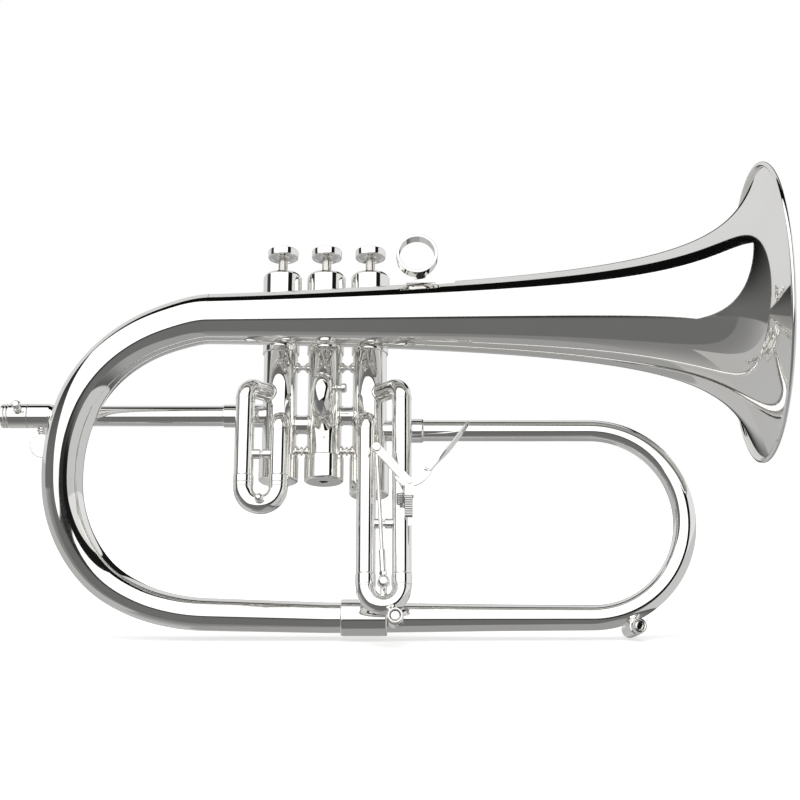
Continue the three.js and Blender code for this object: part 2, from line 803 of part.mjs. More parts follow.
// From a valve casing's collar forwards to the bell's tail.
function bellBrace(valve) {
  const bellZ = BELL_RIM.z - BELL_RISE * (BELL_RIM.x - VALVES[valve]);
  const height = BELL_Y * Math.sin(TILT) + bellZ * Math.cos(TILT);
  const depth = BELL_Y * Math.cos(TILT) - bellZ * Math.sin(TILT);
  const x = VALVES[valve];
  const foot = 4;
  const body = spool(at(x, -8, height), at(x, depth + 9, height), foot, 2.3);
  const bellRoomRadius = bellRadius(BELL_RIM.x - x - 1.5 * foot) + GAP; // at the foot's wider side
  const bellRoom = aim(disc(bellRoomRadius, -20, 20, 40), X, at(x, depth, height));
  return cut(body, casingRoom(valve, COLLAR_RADIUS), bellRoom);
}

function valveParts(blockGroup) {
  VALVES.forEach((x, valve) => {
    const number = valve + 1;
    const group = new THREE.Group();
    group.position.x = x;
    blockGroup.add(group);
    addPart(group, `casing_${number}`, casing(valve));
    addPart(group, `bottom_cap_${number}`, bottomCap(BOTTOM_CAP_FLOORS[valve]));
    addPart(group, `top_cap_${number}`, topCap());
    addPart(group, `piston_${number}`, piston(valve), "piston");
    addPart(group, `finger_button_${number}`, button());
    addPart(group, `valve_guide_${number}`, valveGuide(), "piston");
    addPart(group, `valve_spring_${number}`, spring(VALVE_SPRING), "spring");
  });
  addPart(blockGroup, "knuckle_1_2", knuckle(0, KNUCKLE_12_Z));
  addPart(blockGroup, "knuckle_2_3", knuckle(1, KNUCKLE_23_Z));
  [0, 1].forEach((valve) => {
    const names = `${valve + 1}_${valve + 2}`;
    addPart(blockGroup, `upper_brace_${names}`, casingBrace(valve, 27.5, 2.8, 1.3));
    addPart(blockGroup, `lower_brace_${names}`, casingBrace(valve, -19.9, 3.1, 1.9));
  });
  addPart(blockGroup, "bell_brace_1", bellBrace(0));
  addPart(blockGroup, "bell_brace_3", bellBrace(2));
}

// ---- Slides ----

// An outer leg: up from its open end, over an elbow and back into its valve.
function outerLeg(x, end, portZ, heading, valve) {
  const turnRadius = 6.2;
  const turnZ = portZ - turnRadius;
  const up = straight(at(x, SLIDE_Y, end), at(x, SLIDE_Y, turnZ));
  const over = bend(at(x, SLIDE_Y, turnZ), Z, heading, turnRadius, Math.PI / 2);
  const after = over.getPoint(1);
  const into = straight(after, after.clone().addScaledVector(heading, 9));
  const elbowRadius = LEG_RADIUS - 0.15;
  const body = tube([
    pipe(up, 1, LEG_RADIUS, LEG_BORE),
    pipe(over, 4, elbowRadius, PORT_RADIUS),
    pipe(into, 1, elbowRadius, PORT_RADIUS),
  ]);
  return cut(body, casingRoom(valve));
}

// A U-shaped crook below two outer legs, with its ferrules and the inner legs that slide in them.
function crook(slide) {
  const [left, right] = slide.legs;
  const radius = (right - left) / 2;
  const down = Z.clone().negate();
  const innerRadius = LEG_BORE - SLIDE_CLEARANCE;
  const bore = innerRadius - INNER_LEG_WALL;
  const ferrule = LEG_RADIUS + 0.15;
  const ferruleTop = slide.ends - GAP;
  const leg = (x, from, to) => straight(at(x, SLIDE_Y, from), at(x, SLIDE_Y, to));
  const bowCurve = bend(at(left, SLIDE_Y, slide.crook), down, X, radius, Math.PI);
  return tube([
    pipe(leg(left, slide.innerTop, ferruleTop), 1, innerRadius, bore),
    pipe(leg(left, ferruleTop, slide.crook), 1, ferrule, bore),
    pipe(bowCurve, 9, LEG_RADIUS, bore),
    pipe(leg(right, slide.crook, ferruleTop), 1, ferrule, bore),
    pipe(leg(right, ferruleTop, slide.innerTop), 1, innerRadius, bore),
  ]);
}

// The first slide's pull knob stands forwards from the bottom of its crook.
function slideOneCrook() {
  const middle = (SLIDE_1.legs[0] + SLIDE_1.legs[1]) / 2;
  const z = -52.6;
  const stalk = rodBetween(at(middle, SLIDE_Y - 4.2, z), at(middle, SLIDE_Y - 8, z), 1.2);
  return join(crook(SLIDE_1), stalk, ball(at(middle, SLIDE_Y - 8.6, z), 2.4));
}

// The third slide's crook carries the pin on which the trigger's rod turns.
function slideThreeCrook() {
  const postY = SLIDE_Y - 1;
  const pinEnd = ROD_Y - 4;
  const spot = (y, z = ROD_BALL.z) => at(ROD_BALL.x, y, z);
  const post = rodBetween(spot(postY, SLIDE_3.crook - 6), spot(postY), 1.8);
  const pin = rodBetween(spot(SLIDE_Y), spot(pinEnd), 1.3);
  const head = rodBetween(spot(pinEnd + 0.4), spot(pinEnd - 0.2), 1.9);
  return join(crook(SLIDE_3), post, pin, head);
}

function slideBrace(slide) {
  const [left, right] = slide.legs;
  const room = LEG_RADIUS + GAP;
  const z = slide.brace;
  const body = spool(at(left + 4.2, SLIDE_Y, z), at(right - 4.2, SLIDE_Y, z), 2.5, 1.3);
  const rooms = slide.legs.map((x) => disc(room, z - 6, z + 6, 24).translate(x, SLIDE_Y, 0));
  return cut(body, ...rooms);
}

function slideOneParts(blockGroup) {
  const [left, right] = SLIDE_1.legs;
  const [farHeading, nearHeading] = SLIDE_1_HEADINGS;
  addPart(blockGroup, "slide_1_leg_left", outerLeg(left, SLIDE_1.ends, FAR_PORT_Z, farHeading, 0));
  addPart(blockGroup, "slide_1_leg_right", outerLeg(right, SLIDE_1.ends, NEAR_PORT_Z, nearHeading, 0));
  addPart(blockGroup, "slide_1_brace", slideBrace(SLIDE_1));
  addPart(blockGroup, "slide_1_crook", slideOneCrook());
}

function slideThreeParts(blockGroup) {
  const [left, right] = SLIDE_3.legs;
  const [nearHeading, farHeading] = SLIDE_3_HEADINGS;
  addPart(blockGroup, "slide_3_leg_left", outerLeg(left, SLIDE_3.ends, NEAR_PORT_Z, nearHeading, 2));
  addPart(blockGroup, "slide_3_leg_right", outerLeg(right, SLIDE_3.ends, FAR_PORT_Z, farHeading, 2));
  addPart(blockGroup, "slide_3_brace", slideBrace(SLIDE_3));
  addPart(blockGroup, "slide_3_crook", slideThreeCrook());
}

// The second slide points straight forwards from its valve.
function slideTwoLeg(z) {
  const line = straight(at(0, -5, z), at(0, SLIDE_2.mouth, z));
  const body = tube([pipe(line, 1, SLIDE_2.legRadius, SLIDE_2.bore)], TUBE_SIDES, X);
  return cut(body, casingRoom(1));
}

function slideTwoCrook() {
  const [upper, lower] = SLIDE_2.ports;
  const radius = (upper - lower) / 2;
  const inner = SLIDE_2.bore - SLIDE_CLEARANCE;
  const bore = inner - INNER_LEG_WALL;
  const start = SLIDE_2.mouth - GAP;
  const bowStart = start - 0.6;
  const innerEnd = -10.8;
  const line = (z, from, to) => straight(at(0, from, z), at(0, to, z));
  const down = Z.clone().negate();
  const body = tube(
    [
      pipe(line(upper, innerEnd, start), 1, inner, bore),
      pipe(line(upper, start, bowStart), 1, SLIDE_2.legRadius, bore),
      pipe(bend(at(0, bowStart, upper), FRONT, down, radius, Math.PI), 9, SLIDE_2.legRadius, bore),
      pipe(line(lower, bowStart, start), 1, SLIDE_2.legRadius, bore),
      pipe(line(lower, start, innerEnd), 1, inner, bore),
    ],
    TUBE_SIDES,
    X,
  );
  return join(body, slideTwoKnob());
}

function slideTwoKnob() {
  const profile = [
    [0, 4.8],
    [1.1, 4.8],
    [1.1, 6.4],
    [2.3, 6.6],
    [2.3, 7.4],
    [1.6, 7.9],
    [1.6, 9.4],
    [2.4, 10],
    [2.4, 12.2],
    [1.7, 12.8],
    [0, 12.8],
  ];
  return aim(turned(profile, 12), X, at(0, -30, 6));
}

function slideTwoParts(blockGroup) {
  addPart(blockGroup, "slide_2_leg_upper", slideTwoLeg(SLIDE_2.ports[0]));
  addPart(blockGroup, "slide_2_leg_lower", slideTwoLeg(SLIDE_2.ports[1]));
  addPart(blockGroup, "slide_2_crook", slideTwoCrook());
}

// ---- Third slide trigger ----

// A strap bent into a clevis, with its foot on the slide's outer leg and the pivot pin across it.
function triggerBracket() {
  const width = 4.4;
  const side = new THREE.Shape();
  side.moveTo(22, -62.5);
  side.lineTo(24.6, -62.5);
  side.lineTo(30.8, -52);
  side.lineTo(30.8, -42.6);
  side.lineTo(29.4, -42.6);
  side.lineTo(29.4, -50.2);
  side.lineTo(25.4, -50.2);
  side.lineTo(25.4, -42.6);
  side.lineTo(24, -42.6);
  side.lineTo(24, -52);
  side.lineTo(21.4, -58);
  side.lineTo(18, -58.6);
  side.lineTo(18, -66.2);
  side.lineTo(22, -66.2);
  const flat = new THREE.ExtrudeGeometry(side, { depth: width, bevelEnabled: false });
  const frontwards = new THREE.Matrix4().makeBasis(FRONT, Z, X.clone().negate());
  flat.applyMatrix4(frontwards).translate(PIVOT.x + width / 2, 0, 0);
  const legRoom = disc(LEG_RADIUS + GAP, -70, -50, 24).translate(SLIDE_3.legs[1], SLIDE_Y, 0);
  const pin = rodBetween(at(PIVOT.x, -24.2, PIVOT.z), at(PIVOT.x, -31.2, PIVOT.z), 1.2);
  const head = rodBetween(at(PIVOT.x, -30.6, PIVOT.z), at(PIVOT.x, -31.4, PIVOT.z), 1.8);
  return join(cut(flat, legRoom), pin, head);
}

// The lever: a flat bar to the rod's eye, a hub on the pivot, and a curved arm to the finger blade.
function triggerLever() {
  const thickness = LEVER_THICKNESS;
  const back = LEVER_Y + thickness / 2;
  const bar = barOutline(PIVOT, LEVER_EYE, 2.3);
  const web = new THREE.Shape();
  web.moveTo(PIVOT.x - 1.5, PIVOT.z + 1);
  web.lineTo(PIVOT.x - 8.2, PIVOT.z + 3.4);
  web.quadraticCurveTo(PIVOT.x - 5.4, PIVOT.z - 1.6, PIVOT.x - 1, PIVOT.z - 2.2);
  const arm = new THREE.Shape();
  arm.moveTo(PIVOT.x, PIVOT.z - 2.3);
  arm.quadraticCurveTo(PIVOT.x + 7, PIVOT.z - 2, ELBOW.x + 1.2, ELBOW.z - 0.6);
  arm.lineTo(ELBOW.x - 0.6, ELBOW.z + 1.8);
  arm.quadraticCurveTo(PIVOT.x + 6, PIVOT.z + 2.6, PIVOT.x, PIVOT.z + 2.3);
  const flats = join(...[bar, web, arm].map((outline) => plate(outline, back, thickness)));
  const along = at(BLADE_TIP.x - ELBOW.x, 0, BLADE_TIP.z - ELBOW.z);
  const blade = new THREE.BoxGeometry(1.3, 12, along.length());
  const bladeMiddle = at((ELBOW.x + BLADE_TIP.x) / 2, LEVER_Y, (ELBOW.z + BLADE_TIP.z) / 2);
  const bladeBody = aim(blade, along, bladeMiddle);
  const pinHole = pinAlongY(PIVOT, 1.35);
  const eyeHole = pinAlongY(LEVER_EYE, 2);
  return cut(join(flats, bladeBody), pinHole, eyeHole);
}

// A straight bar with round ends about two centres.
function barOutline(from, to, half) {
  const angle = Math.atan2(to.z - from.z, to.x - from.x);
  const outline = new THREE.Shape();
  outline.absarc(to.x, to.z, half, angle - Math.PI / 2, angle + Math.PI / 2, false);
  outline.absarc(from.x, from.z, half, angle + Math.PI / 2, angle + (3 * Math.PI) / 2, false);
  return outline;
}

function pinAlongY(place, radius, from = -20, to = -35) {
  return rodBetween(at(place.x, from, place.z), at(place.x, to, place.z), radius, 12);
}

// The rod: a clevis tongue behind the lever's eye, a pin through it, and an eye on the crook's pin.
function triggerRod() {
  const tongueY = LEVER_Y + LEVER_THICKNESS / 2 + 0.4;
  const pinEnd = LEVER_Y - LEVER_THICKNESS / 2 - 0.4;
  const tongue = pinAlongY(LEVER_EYE, 2.5, tongueY + 1.9, tongueY);
  const pin = pinAlongY(LEVER_EYE, 1.1, tongueY + 0.5, pinEnd - 0.5);
  const head = pinAlongY(LEVER_EYE, 2.7, pinEnd, pinEnd - 0.8);
  const upper = at(LEVER_EYE.x, tongueY + 0.9, LEVER_EYE.z);
  const lower = at(ROD_BALL.x, ROD_Y, ROD_BALL.z);
  const way = lower.clone().sub(upper);
  const spot = (share) => upper.clone().addScaledVector(way, share);
  const part = (from, to, radius) => rodBetween(spot(from), spot(to), radius);
  const rod = join(part(0, 0.97, 1.1), part(0.03, 0.14, 1.2), part(0.835, 0.95, 1.9));
  const eyeRoom = pinAlongY(ROD_BALL, 1.5, -15, -35);
  return cut(join(rod, ball(lower, 3.5), tongue, pin, head), eyeRoom);
}

// The return spring, a short coil beside the bracket.
function triggerSpring() {
  const coil = { radius: 1.7, wire: 0.7, bottom: 0, top: 6.4, turns: 4 };
  return spring(coil).translate(41, -26.4, -56.4);
}

function triggerParts(blockGroup) {
  addPart(blockGroup, "trigger_bracket", triggerBracket());
  addPart(blockGroup, "trigger_lever", triggerLever());
  addPart(blockGroup, "trigger_rod", triggerRod());
  addPart(blockGroup, "trigger_spring", triggerSpring(), "spring");
}

// ---- Water keys ----

// A short barrel soldered across the tube, open at its face for the plunger, with a drain hole
// on one side and the stub of its stop screw on the other.
function waterKeyBody(key, tubeRoom) {
  const back = -KEY_LENGTH;
  const boreEnd = back + 3.5;
  const profile = [
    [0, boreEnd],
    [KEY_BORE, boreEnd],
    [KEY_BORE, -0.5],
    [3.2, 0],
    [3.9, 0],
    [3.95, -3],
    [4.35, -3.4],
    [4.35, back + 0.8],
    [3.6, back],
    [0, back],
  ];
  const barrel = aim(turned(profile), at(...key.direction), at(...key.face));
  const middle = at(...key.face).addScaledVector(at(...key.direction), -4.5);
  const outwards = at(...key.stub).normalize();
  const spot = (distance) => middle.clone().addScaledVector(outwards, distance);
  const stub = rodBetween(spot(3.3), spot(5.4), 1.5);
  const drain = rodBetween(middle, spot(-7), 1.1);
  return cut(join(barrel, stub), drain, tubeRoom);
}

function waterKeyPlunger(key) {
  const profile = [
    [0, -5.4],
    [2.6, -5.4],
    [2.6, -1.2],
    [2.3, -0.7],
    [0, -0.5],
  ];
  return aim(turned(profile), at(...key.direction), at(...key.face));
}

// The space that the bottom of a crook takes up, with the usual gap.
function crookRoom(slide) {
  const [left, right] = slide.legs;
  const down = Z.clone().negate();
  const curve = bend(at(left, SLIDE_Y, slide.crook), down, X, (right - left) / 2, Math.PI);
  return tube([filled(pipe(curve, 9, LEG_RADIUS + GAP))]);
}

function waterKeyParts(root, blockGroup) {
  const bowRoom = tube(frontBowStretches(GAP).map(filled), BOW_SIDES);
  const homes = [
    [blockGroup, crookRoom(SLIDE_3)],
    [root, bowRoom],
  ];
  WATER_KEYS.forEach((key, i) => {
    const [group, tubeRoom] = homes[i];
    addPart(group, `water_key_body_${i + 1}`, waterKeyBody(key, tubeRoom));
    addPart(group, `water_key_plunger_${i + 1}`, waterKeyPlunger(key));
  });
}

// The same stretch with almost no bore, for cutting the room that a tube needs.
function filled(part) {
  return { ...part, bore: () => 0.01 };
}

// ---- Finger ring ----

// A strip bent into a ring, on a slanting foot soldered along the top of the bell's tail.
function fingerRing() {
  const { outer, inner, half } = FINGER_RING;
  const centre = at(...FINGER_RING.centre);
  const front = at(0, -Math.cos(TILT), Math.sin(TILT));
  const hoop = aim(ring(outer, inner, -half, half, 20), front, centre);
  const hole = aim(disc(inner, -half - 2, half + 2, 20), front, centre);
  const leg = new THREE.Shape();
  leg.moveTo(48.6, 74.7);
  leg.lineTo(54.6, 74.9);
  leg.quadraticCurveTo(57.5, 73.9, 69.5, 74.1);
  leg.lineTo(69.5, 70.6);
  leg.lineTo(44, 70.6);
  leg.lineTo(44, 72.6);
  leg.lineTo(51.5, 72.9);
  const foot = plate(leg, BELL_Y + 3, 6);
  const axis = at(Math.cos(BELL_RISE), 0, Math.sin(BELL_RISE));
  return cut(join(hoop, foot), aim(bellRoomBody(), axis, BELL_RIM), hole);
}

// The space that the bell's tail takes up under the finger ring, with the usual gap.
function bellRoomBody() {
  const backs = [120, 150, 180, 210];
  const side = backs.map((back) => [bellRadius(back) + GAP, -back]);
  return turned([[0, -backs[0]], ...side, [0, -backs.at(-1)]], BELL_SIDES);
}

// ---- The instrument ----

const flugelhorn = new THREE.Group();
flugelhorn.add(bellGroup());
bowParts(flugelhorn);
mouthpipeParts(flugelhorn);

const valveBlock = new THREE.Group();
valveBlock.rotation.x = -TILT;
flugelhorn.add(valveBlock);
valveParts(valveBlock);
slideOneParts(valveBlock);
slideTwoParts(valveBlock);
slideThreeParts(valveBlock);
triggerParts(valveBlock);

waterKeyParts(flugelhorn, valveBlock);
addPart(flugelhorn, "finger_ring", fingerRing());

export default flugelhorn;
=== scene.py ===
# Flugelhorn in silver plate: the smooth surfaces that stand for the faceted solids, their metals, and
# a plain studio. Shapes are in millimetres until they become meshes. A shell is a list of points and a
# list of faces. The valve block's shapes are made upright and then leaned back with "leaned".
import json
import math

import bpy
from mathutils import Matrix, Vector


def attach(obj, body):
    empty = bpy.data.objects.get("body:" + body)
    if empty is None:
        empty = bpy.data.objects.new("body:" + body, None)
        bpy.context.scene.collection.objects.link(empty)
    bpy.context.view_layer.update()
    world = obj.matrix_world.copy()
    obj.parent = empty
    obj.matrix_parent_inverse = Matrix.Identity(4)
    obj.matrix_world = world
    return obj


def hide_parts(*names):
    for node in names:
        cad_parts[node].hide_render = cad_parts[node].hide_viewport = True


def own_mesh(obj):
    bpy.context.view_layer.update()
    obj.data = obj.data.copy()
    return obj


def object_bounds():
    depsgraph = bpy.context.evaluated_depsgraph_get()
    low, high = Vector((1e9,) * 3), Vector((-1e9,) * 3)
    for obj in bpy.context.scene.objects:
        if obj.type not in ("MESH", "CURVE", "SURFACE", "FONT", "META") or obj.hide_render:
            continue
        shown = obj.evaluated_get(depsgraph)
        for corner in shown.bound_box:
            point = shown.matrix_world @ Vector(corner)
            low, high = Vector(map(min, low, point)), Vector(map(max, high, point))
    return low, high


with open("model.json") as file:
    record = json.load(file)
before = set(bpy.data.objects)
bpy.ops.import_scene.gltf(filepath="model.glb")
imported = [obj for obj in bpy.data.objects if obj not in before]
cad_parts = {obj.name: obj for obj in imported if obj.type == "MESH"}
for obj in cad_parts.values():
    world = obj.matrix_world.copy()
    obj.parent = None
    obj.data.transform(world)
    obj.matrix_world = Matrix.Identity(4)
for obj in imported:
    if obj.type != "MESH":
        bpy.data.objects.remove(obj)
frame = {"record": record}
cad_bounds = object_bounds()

MM = 0.001
X, Y, Z = Vector((1, 0, 0)), Vector((0, 1, 0)), Vector((0, 0, 1))
FRONT = -Y

# ---- Driving dimensions ----
WALL = 0.5
SEAT_DEPTH = 0.25  # how far a soldered tube's end goes into the wall that it meets
ON_AXIS = 1e-6  # a radius below this is a point on the axis
CREASE_ANGLE = math.radians(38)  # a sharper edge stays crisp
BEVEL_ANGLE = math.radians(40)  # a sharper edge is rounded, where a piece has an ease

BELL_Y = -19
BELL_RIM = Vector((232.8, BELL_Y, 54.8))
BELL_RISE = 0.011
RIM_RADIUS = 79.5
FLARE_START = 13
FLARE_POWER = 0.54
TAIL_TAPER = 0.005
TAIL_EASE = 0.000156
TAIL_STRETCH = 40
BELL_SIDES = 176
BOW_SIDES = 64
BACK_BOW_X = -59.1
BACK_BOW_RADIUS = 79.15
LOWER_Z = -106.7
BACK_BOW_Z = LOWER_Z + BACK_BOW_RADIUS
BACK_BOW_RADII = [13.23, 12.55, 11.95, 11.42, 10.9, 10.45, 9.7, 9.05, 8.65]
# How far the bow lies outside its half circle, at even steps round it, and one step past its two ends.
BACK_BOW_SWELL = [0, -1.45, -1.6, -1.2, -0.9, -0.9, -0.3, 1.4, 2.6, 2.85, 0.95, -1, -1.65]
BACK_BOW_SWELL_PAST = (-1.45, -0.1)
PIPE_CROSSING_SWELL = -0.9
LOWER_BEND_X = 2
LOWER_BEND_RADIUS = 8.05
LOWER_JOINT_X = 21.6
LOWER_JOINT_RADIUS = 8
FRONT_BOW_X = 143
FRONT_BOW_RADII = [5.6, 6.65, 7, 7.95]
NARROW_X = 94

MOUTHPIPE_RADIUS = 5.55
MOUTHPIPE_BORE = 4.9
MOUTHPIPE_SLEEVE = {"x": -54.6, "radius": 6.2}
RECEIVER_RADIUS = 6.55
RECEIVER_X = (-174.7, -160.2)
RECEIVER_TAIL_X = -118
FIXED_SLEEVE_X = (-160.05, -146.2)
SPADE_X = -152.8
LOCK_X = -164.7
LOCK_ANGLE = 0.54

TILT = math.radians(18)
PITCH = 24.3
VALVES = (-PITCH, 0, PITCH)
CASING_RADIUS = 9.15
CASING_BORE = 8.35
COLLAR_RADIUS = 9.95
COLLAR_Z = 35.2
CAP_RADIUS = 10.55
CAP_BORE = CASING_RADIUS + 0.02
CASING_SIDES = 96
TUBE_SIDES = 56
BOTTOM_CAP_TOP = -23.1
BOTTOM_CAP_FLOORS = (-37.1, -37.1, -44.8)
TOP_CAP_Z = (66, 81.6)
STEM_RADIUS = 2.6
BUTTON_Z = 91.8
BUTTON_TOP = BUTTON_Z + 4.5
BUTTON_RADIUS = 8.35
INLAY_BOTTOM = BUTTON_TOP - 0.6
INLAY_RADIUS = 6.35
PORT_RADIUS = 4.4
TRAVEL = 9.8
KNUCKLE_RADIUS = 5
KNUCKLE_12_Z = -5
KNUCKLE_23_Z = 0
OUTLET_Z = -8.4
PISTON = {"bottom": -22, "top": 28, "barrel_top": 76, "slot": (31.4, 46.5)}
GUIDE_Z = (32, 34)
SPRING_Z = (34.4, 73.6)

SLIDE_Y = -18
LEG_RADIUS = 5.1
LEG_BORE = 4.62
INNER_LEG = (4.54, 4.09)  # outside and bore
ELBOW_RADIUS = 4.95
SLIDE_1 = {"legs": (-41.3, -22.9), "ends": -38.4, "crook": -44.8, "inner_top": -14.5, "brace": -26.6}
SLIDE_3 = {"legs": (23.1, 41.7), "ends": -90.8, "crook": -97.7, "inner_top": -52, "brace": -64.2}
NEAR_PORT_Z = -6.8
FAR_PORT_Z = 11
SLIDE_1_HEADINGS = (Vector((17.1, 18, 0)).normalized(), Y)
SLIDE_3_HEADINGS = (Y, Vector((-17.5, 18, 0)).normalized())
SLIDE_2 = {"ports": (11.4, -5.6), "radius": 5.45, "bore": 4.95, "mouth": -21.7}

PIVOT = Vector((45.6, 0, -44.6))
LEVER_EYE = Vector((28.6, 0, -25.7))
ELBOW = Vector((56.1, 0, -38.7))
BLADE_TIP = Vector((76.6, 0, -12.2))
ROD_BALL = Vector((32.4, 0, -96.3))
LEVER_Y = -27.4
LEVER_THICKNESS = 2
ROD_Y = -24.6

WATER_KEYS = (
    {"face": (38.4, -30, -114.4), "direction": (0, -1, 0), "stub": (-0.6, 0, 0.8)},
    {"face": (167, -27, -109.6), "direction": (0.3, -0.905, 0.3), "stub": (-0.7, 0, 0.7)},
)
KEY_LENGTH = 15
KEY_BORE = 2.75
DRAIN_DEPTH = 5.6

RING = {"centre": Vector((49.8, BELL_Y, 85.1)), "outer": 10.9, "inner": 9.4, "half": 3.7}

# The studio, in metres and watts.
CAMERA_PLACE = (0.0408, -0.925, 0.0087)
CAMERA_LENS = 76.95
CAMERA_SENSOR = 36
LAMP_PLACE = (0.0, -0.3, 1.5)
LAMP_SIZE = 1.6
LAMP_POWER = 14
FLOOR_RADIUS = 9
FLOOR_GAP = 0.0005


def in_scene(name, data):
    made = bpy.data.objects.new(name, data)
    bpy.context.scene.collection.objects.link(made)
    return made


# ---- Shells ----

def outward(points, faces):
    """The shell with its faces turned outwards."""
    volume = 0
    for face in faces:
        first = points[face[0]]
        for second, third in zip(face[1:], face[2:]):
            volume += first.dot(points[second].cross(points[third]))
    if volume < 0:
        faces = [tuple(reversed(face)) for face in faces]
    return points, faces


def skin(loops, closed=False):
    """A surface through loops of points. A loop of one point closes an end."""
    points, faces, rows = [], [], []
    for loop in loops:
        rows.append(range(len(points), len(points) + len(loop)))
        points.extend(loop)
    pairs = list(zip(rows, rows[1:]))
    if closed:
        pairs.append((rows[-1], rows[0]))
    for low, high in pairs:
        count = max(len(low), len(high))
        for i in range(count):
            j = (i + 1) % count
            corners = (low[i % len(low)], low[j % len(low)], high[j % len(high)], high[i % len(high)])
            face = tuple(dict.fromkeys(corners))
            if len(face) > 2:
                faces.append(face)
    return outward(points, faces)


def merged(*shells):
    points, faces = [], []
    for more_points, more_faces in shells:
        start = len(points)
        points.extend(more_points)
        faces.extend(tuple(i + start for i in face) for face in more_faces)
    return points, faces


def changed(shell, change):
    points, faces = shell
    return [change(point) for point in points], faces


def aimed(shell, direction, place):
    """A shell made along z, turned to a direction and moved to a place."""
    turn = Z.rotation_difference(Vector(direction))
    return changed(shell, lambda point: turn @ point + Vector(place))


def leaned(shell):
    turn = Matrix.Rotation(-TILT, 3, "X")
    return changed(shell, lambda point: turn @ point)


def circle(centre, across, up, radius, sides):
    turns = [2 * math.pi * i / sides for i in range(sides)]
    return [centre + across * (radius * math.cos(a)) + up * (radius * math.sin(a)) for a in turns]


def eased(profile, ease, steps=4):
    """The profile of a turned body with its corners rounded, over less than half of each side."""
    ring, most = profile[0][0] > 0, 0.45
    last = len(profile) - 1
    rounded = []
    for i, corner in enumerate(profile):
        if not ring and i in (0, last):
            rounded.append(corner)
            continue
        here = Vector(corner)
        before = Vector(profile[i - 1]) - here
        after = Vector(profile[(i + 1) % len(profile)]) - here
        reach = min(ease, most * before.length, most * after.length)
        start, end = here + before.normalized() * reach, here + after.normalized() * reach
        for step in range(steps + 1):
            way = step / steps
            rounded.append(tuple(start.lerp(here, way).lerp(here.lerp(end, way), way)))
    return rounded


def lathe(profile, sides=64):
    """A body turned about z. The profile lists radius and height, from the axis back to the axis, or
    once round the section of a ring."""
    loops = []
    for radius, height in profile:
        centre = Vector((0, 0, height))
        loops.append([centre] if radius < ON_AXIS else circle(centre, X, Y, radius, sides))
    return skin(loops, closed=profile[0][0] > 0)


def disc(radius, bottom, top, ease=0.15, sides=48):
    profile = [(0, bottom), (radius, bottom), (radius, top), (0, top)]
    return lathe(eased(profile, ease), sides)


def band(outer, inner, bottom, top, ease=0.3, sides=64):
    profile = [(inner, bottom), (outer, bottom), (outer, top), (inner, top)]
    return lathe(eased(profile, ease), sides)


def ball(centre, radius, sides=40):
    rings = sides // 2
    turns = [math.pi * i / rings for i in range(rings + 1)]
    profile = [(radius * math.sin(turn), -radius * math.cos(turn)) for turn in turns]
    profile[0], profile[-1] = (0, -radius), (0, radius)
    return aimed(lathe(profile, sides), Z, centre)


def slid(point, towards, seat):
    """Where a line from a point first meets a round wall, given as its place, its axis and its radius."""
    place, axis, radius = seat
    offset = point - place
    offset = offset - axis * offset.dot(axis)
    flat = towards - axis * towards.dot(axis)
    a, b, c = flat.dot(flat), offset.dot(flat), offset.dot(offset) - radius * radius
    inside = max(b * b - a * c, 0)
    return point + towards * ((-b - math.sqrt(inside)) / a)


def line(start, end, steps=1):
    """Places along a straight path, each with its heading."""
    start, end = Vector(start), Vector(end)
    heading = (end - start).normalized()
    return [(start.lerp(end, i / steps), heading) for i in range(steps + 1)]


def bend(start, heading, towards, radius, angle, steps, first=0):
    """Places along a bend that starts with one heading and turns towards another."""
    centre = Vector(start) + towards * radius
    path = []
    for i in range(steps + 1):
        turn = first + (angle - first) * i / steps
        place = centre - towards * (radius * math.cos(turn)) + heading * (radius * math.sin(turn))
        path.append((place, heading * math.cos(turn) + towards * math.sin(turn)))
    return path


def stretch(path, outer, bore=None):
    """The path's places with the tube's outer radius and bore. A radius is a number, or two numbers
    between which it runs evenly, or a function of the way along the path."""
    last = len(path) - 1

    def size(value, way):
        if callable(value):
            return value(way)
        return value[0] + (value[1] - value[0]) * way if isinstance(value, tuple) else value

    rows = []
    for i, (place, heading) in enumerate(path):
        bore_here = None if bore is None else size(bore, i / last)
        rows.append((place, heading, size(outer, i / last), bore_here))
    return rows


def tube(rows, sides=48, side=Y, seats=(None, None)):
    """A tube through rows of place, heading, outer radius and bore, or a solid rod where the bore is
    None. A seat is the round wall that an end is soldered to."""
    normal, last = Vector(side), rows[0][1]
    outside, inside = [], []
    for k, (place, heading, outer, bore) in enumerate(rows):
        normal = last.rotation_difference(heading) @ normal
        last = heading
        loops = [circle(place, normal, heading.cross(normal), radius, sides) for radius in (outer, bore or 0)]
        for end, seat in ((0, seats[0]), (len(rows) - 1, seats[1])):
            if k == end and seat:
                towards = -heading if k == 0 else heading
                loops = [[slid(point, towards, seat) for point in loop] for loop in loops]
        outside.append(loops[0])
        inside.append(loops[1])
    if rows[0][3] is None:
        return skin([[inside[0][0]], *outside, [inside[-1][0]]])
    return skin(outside + inside[::-1], closed=True)


def rod(start, end, radius, ease=0.12, sides=40):
    direction = Vector(end) - Vector(start)
    return aimed(disc(radius, 0, direction.length, ease, sides), direction, start)


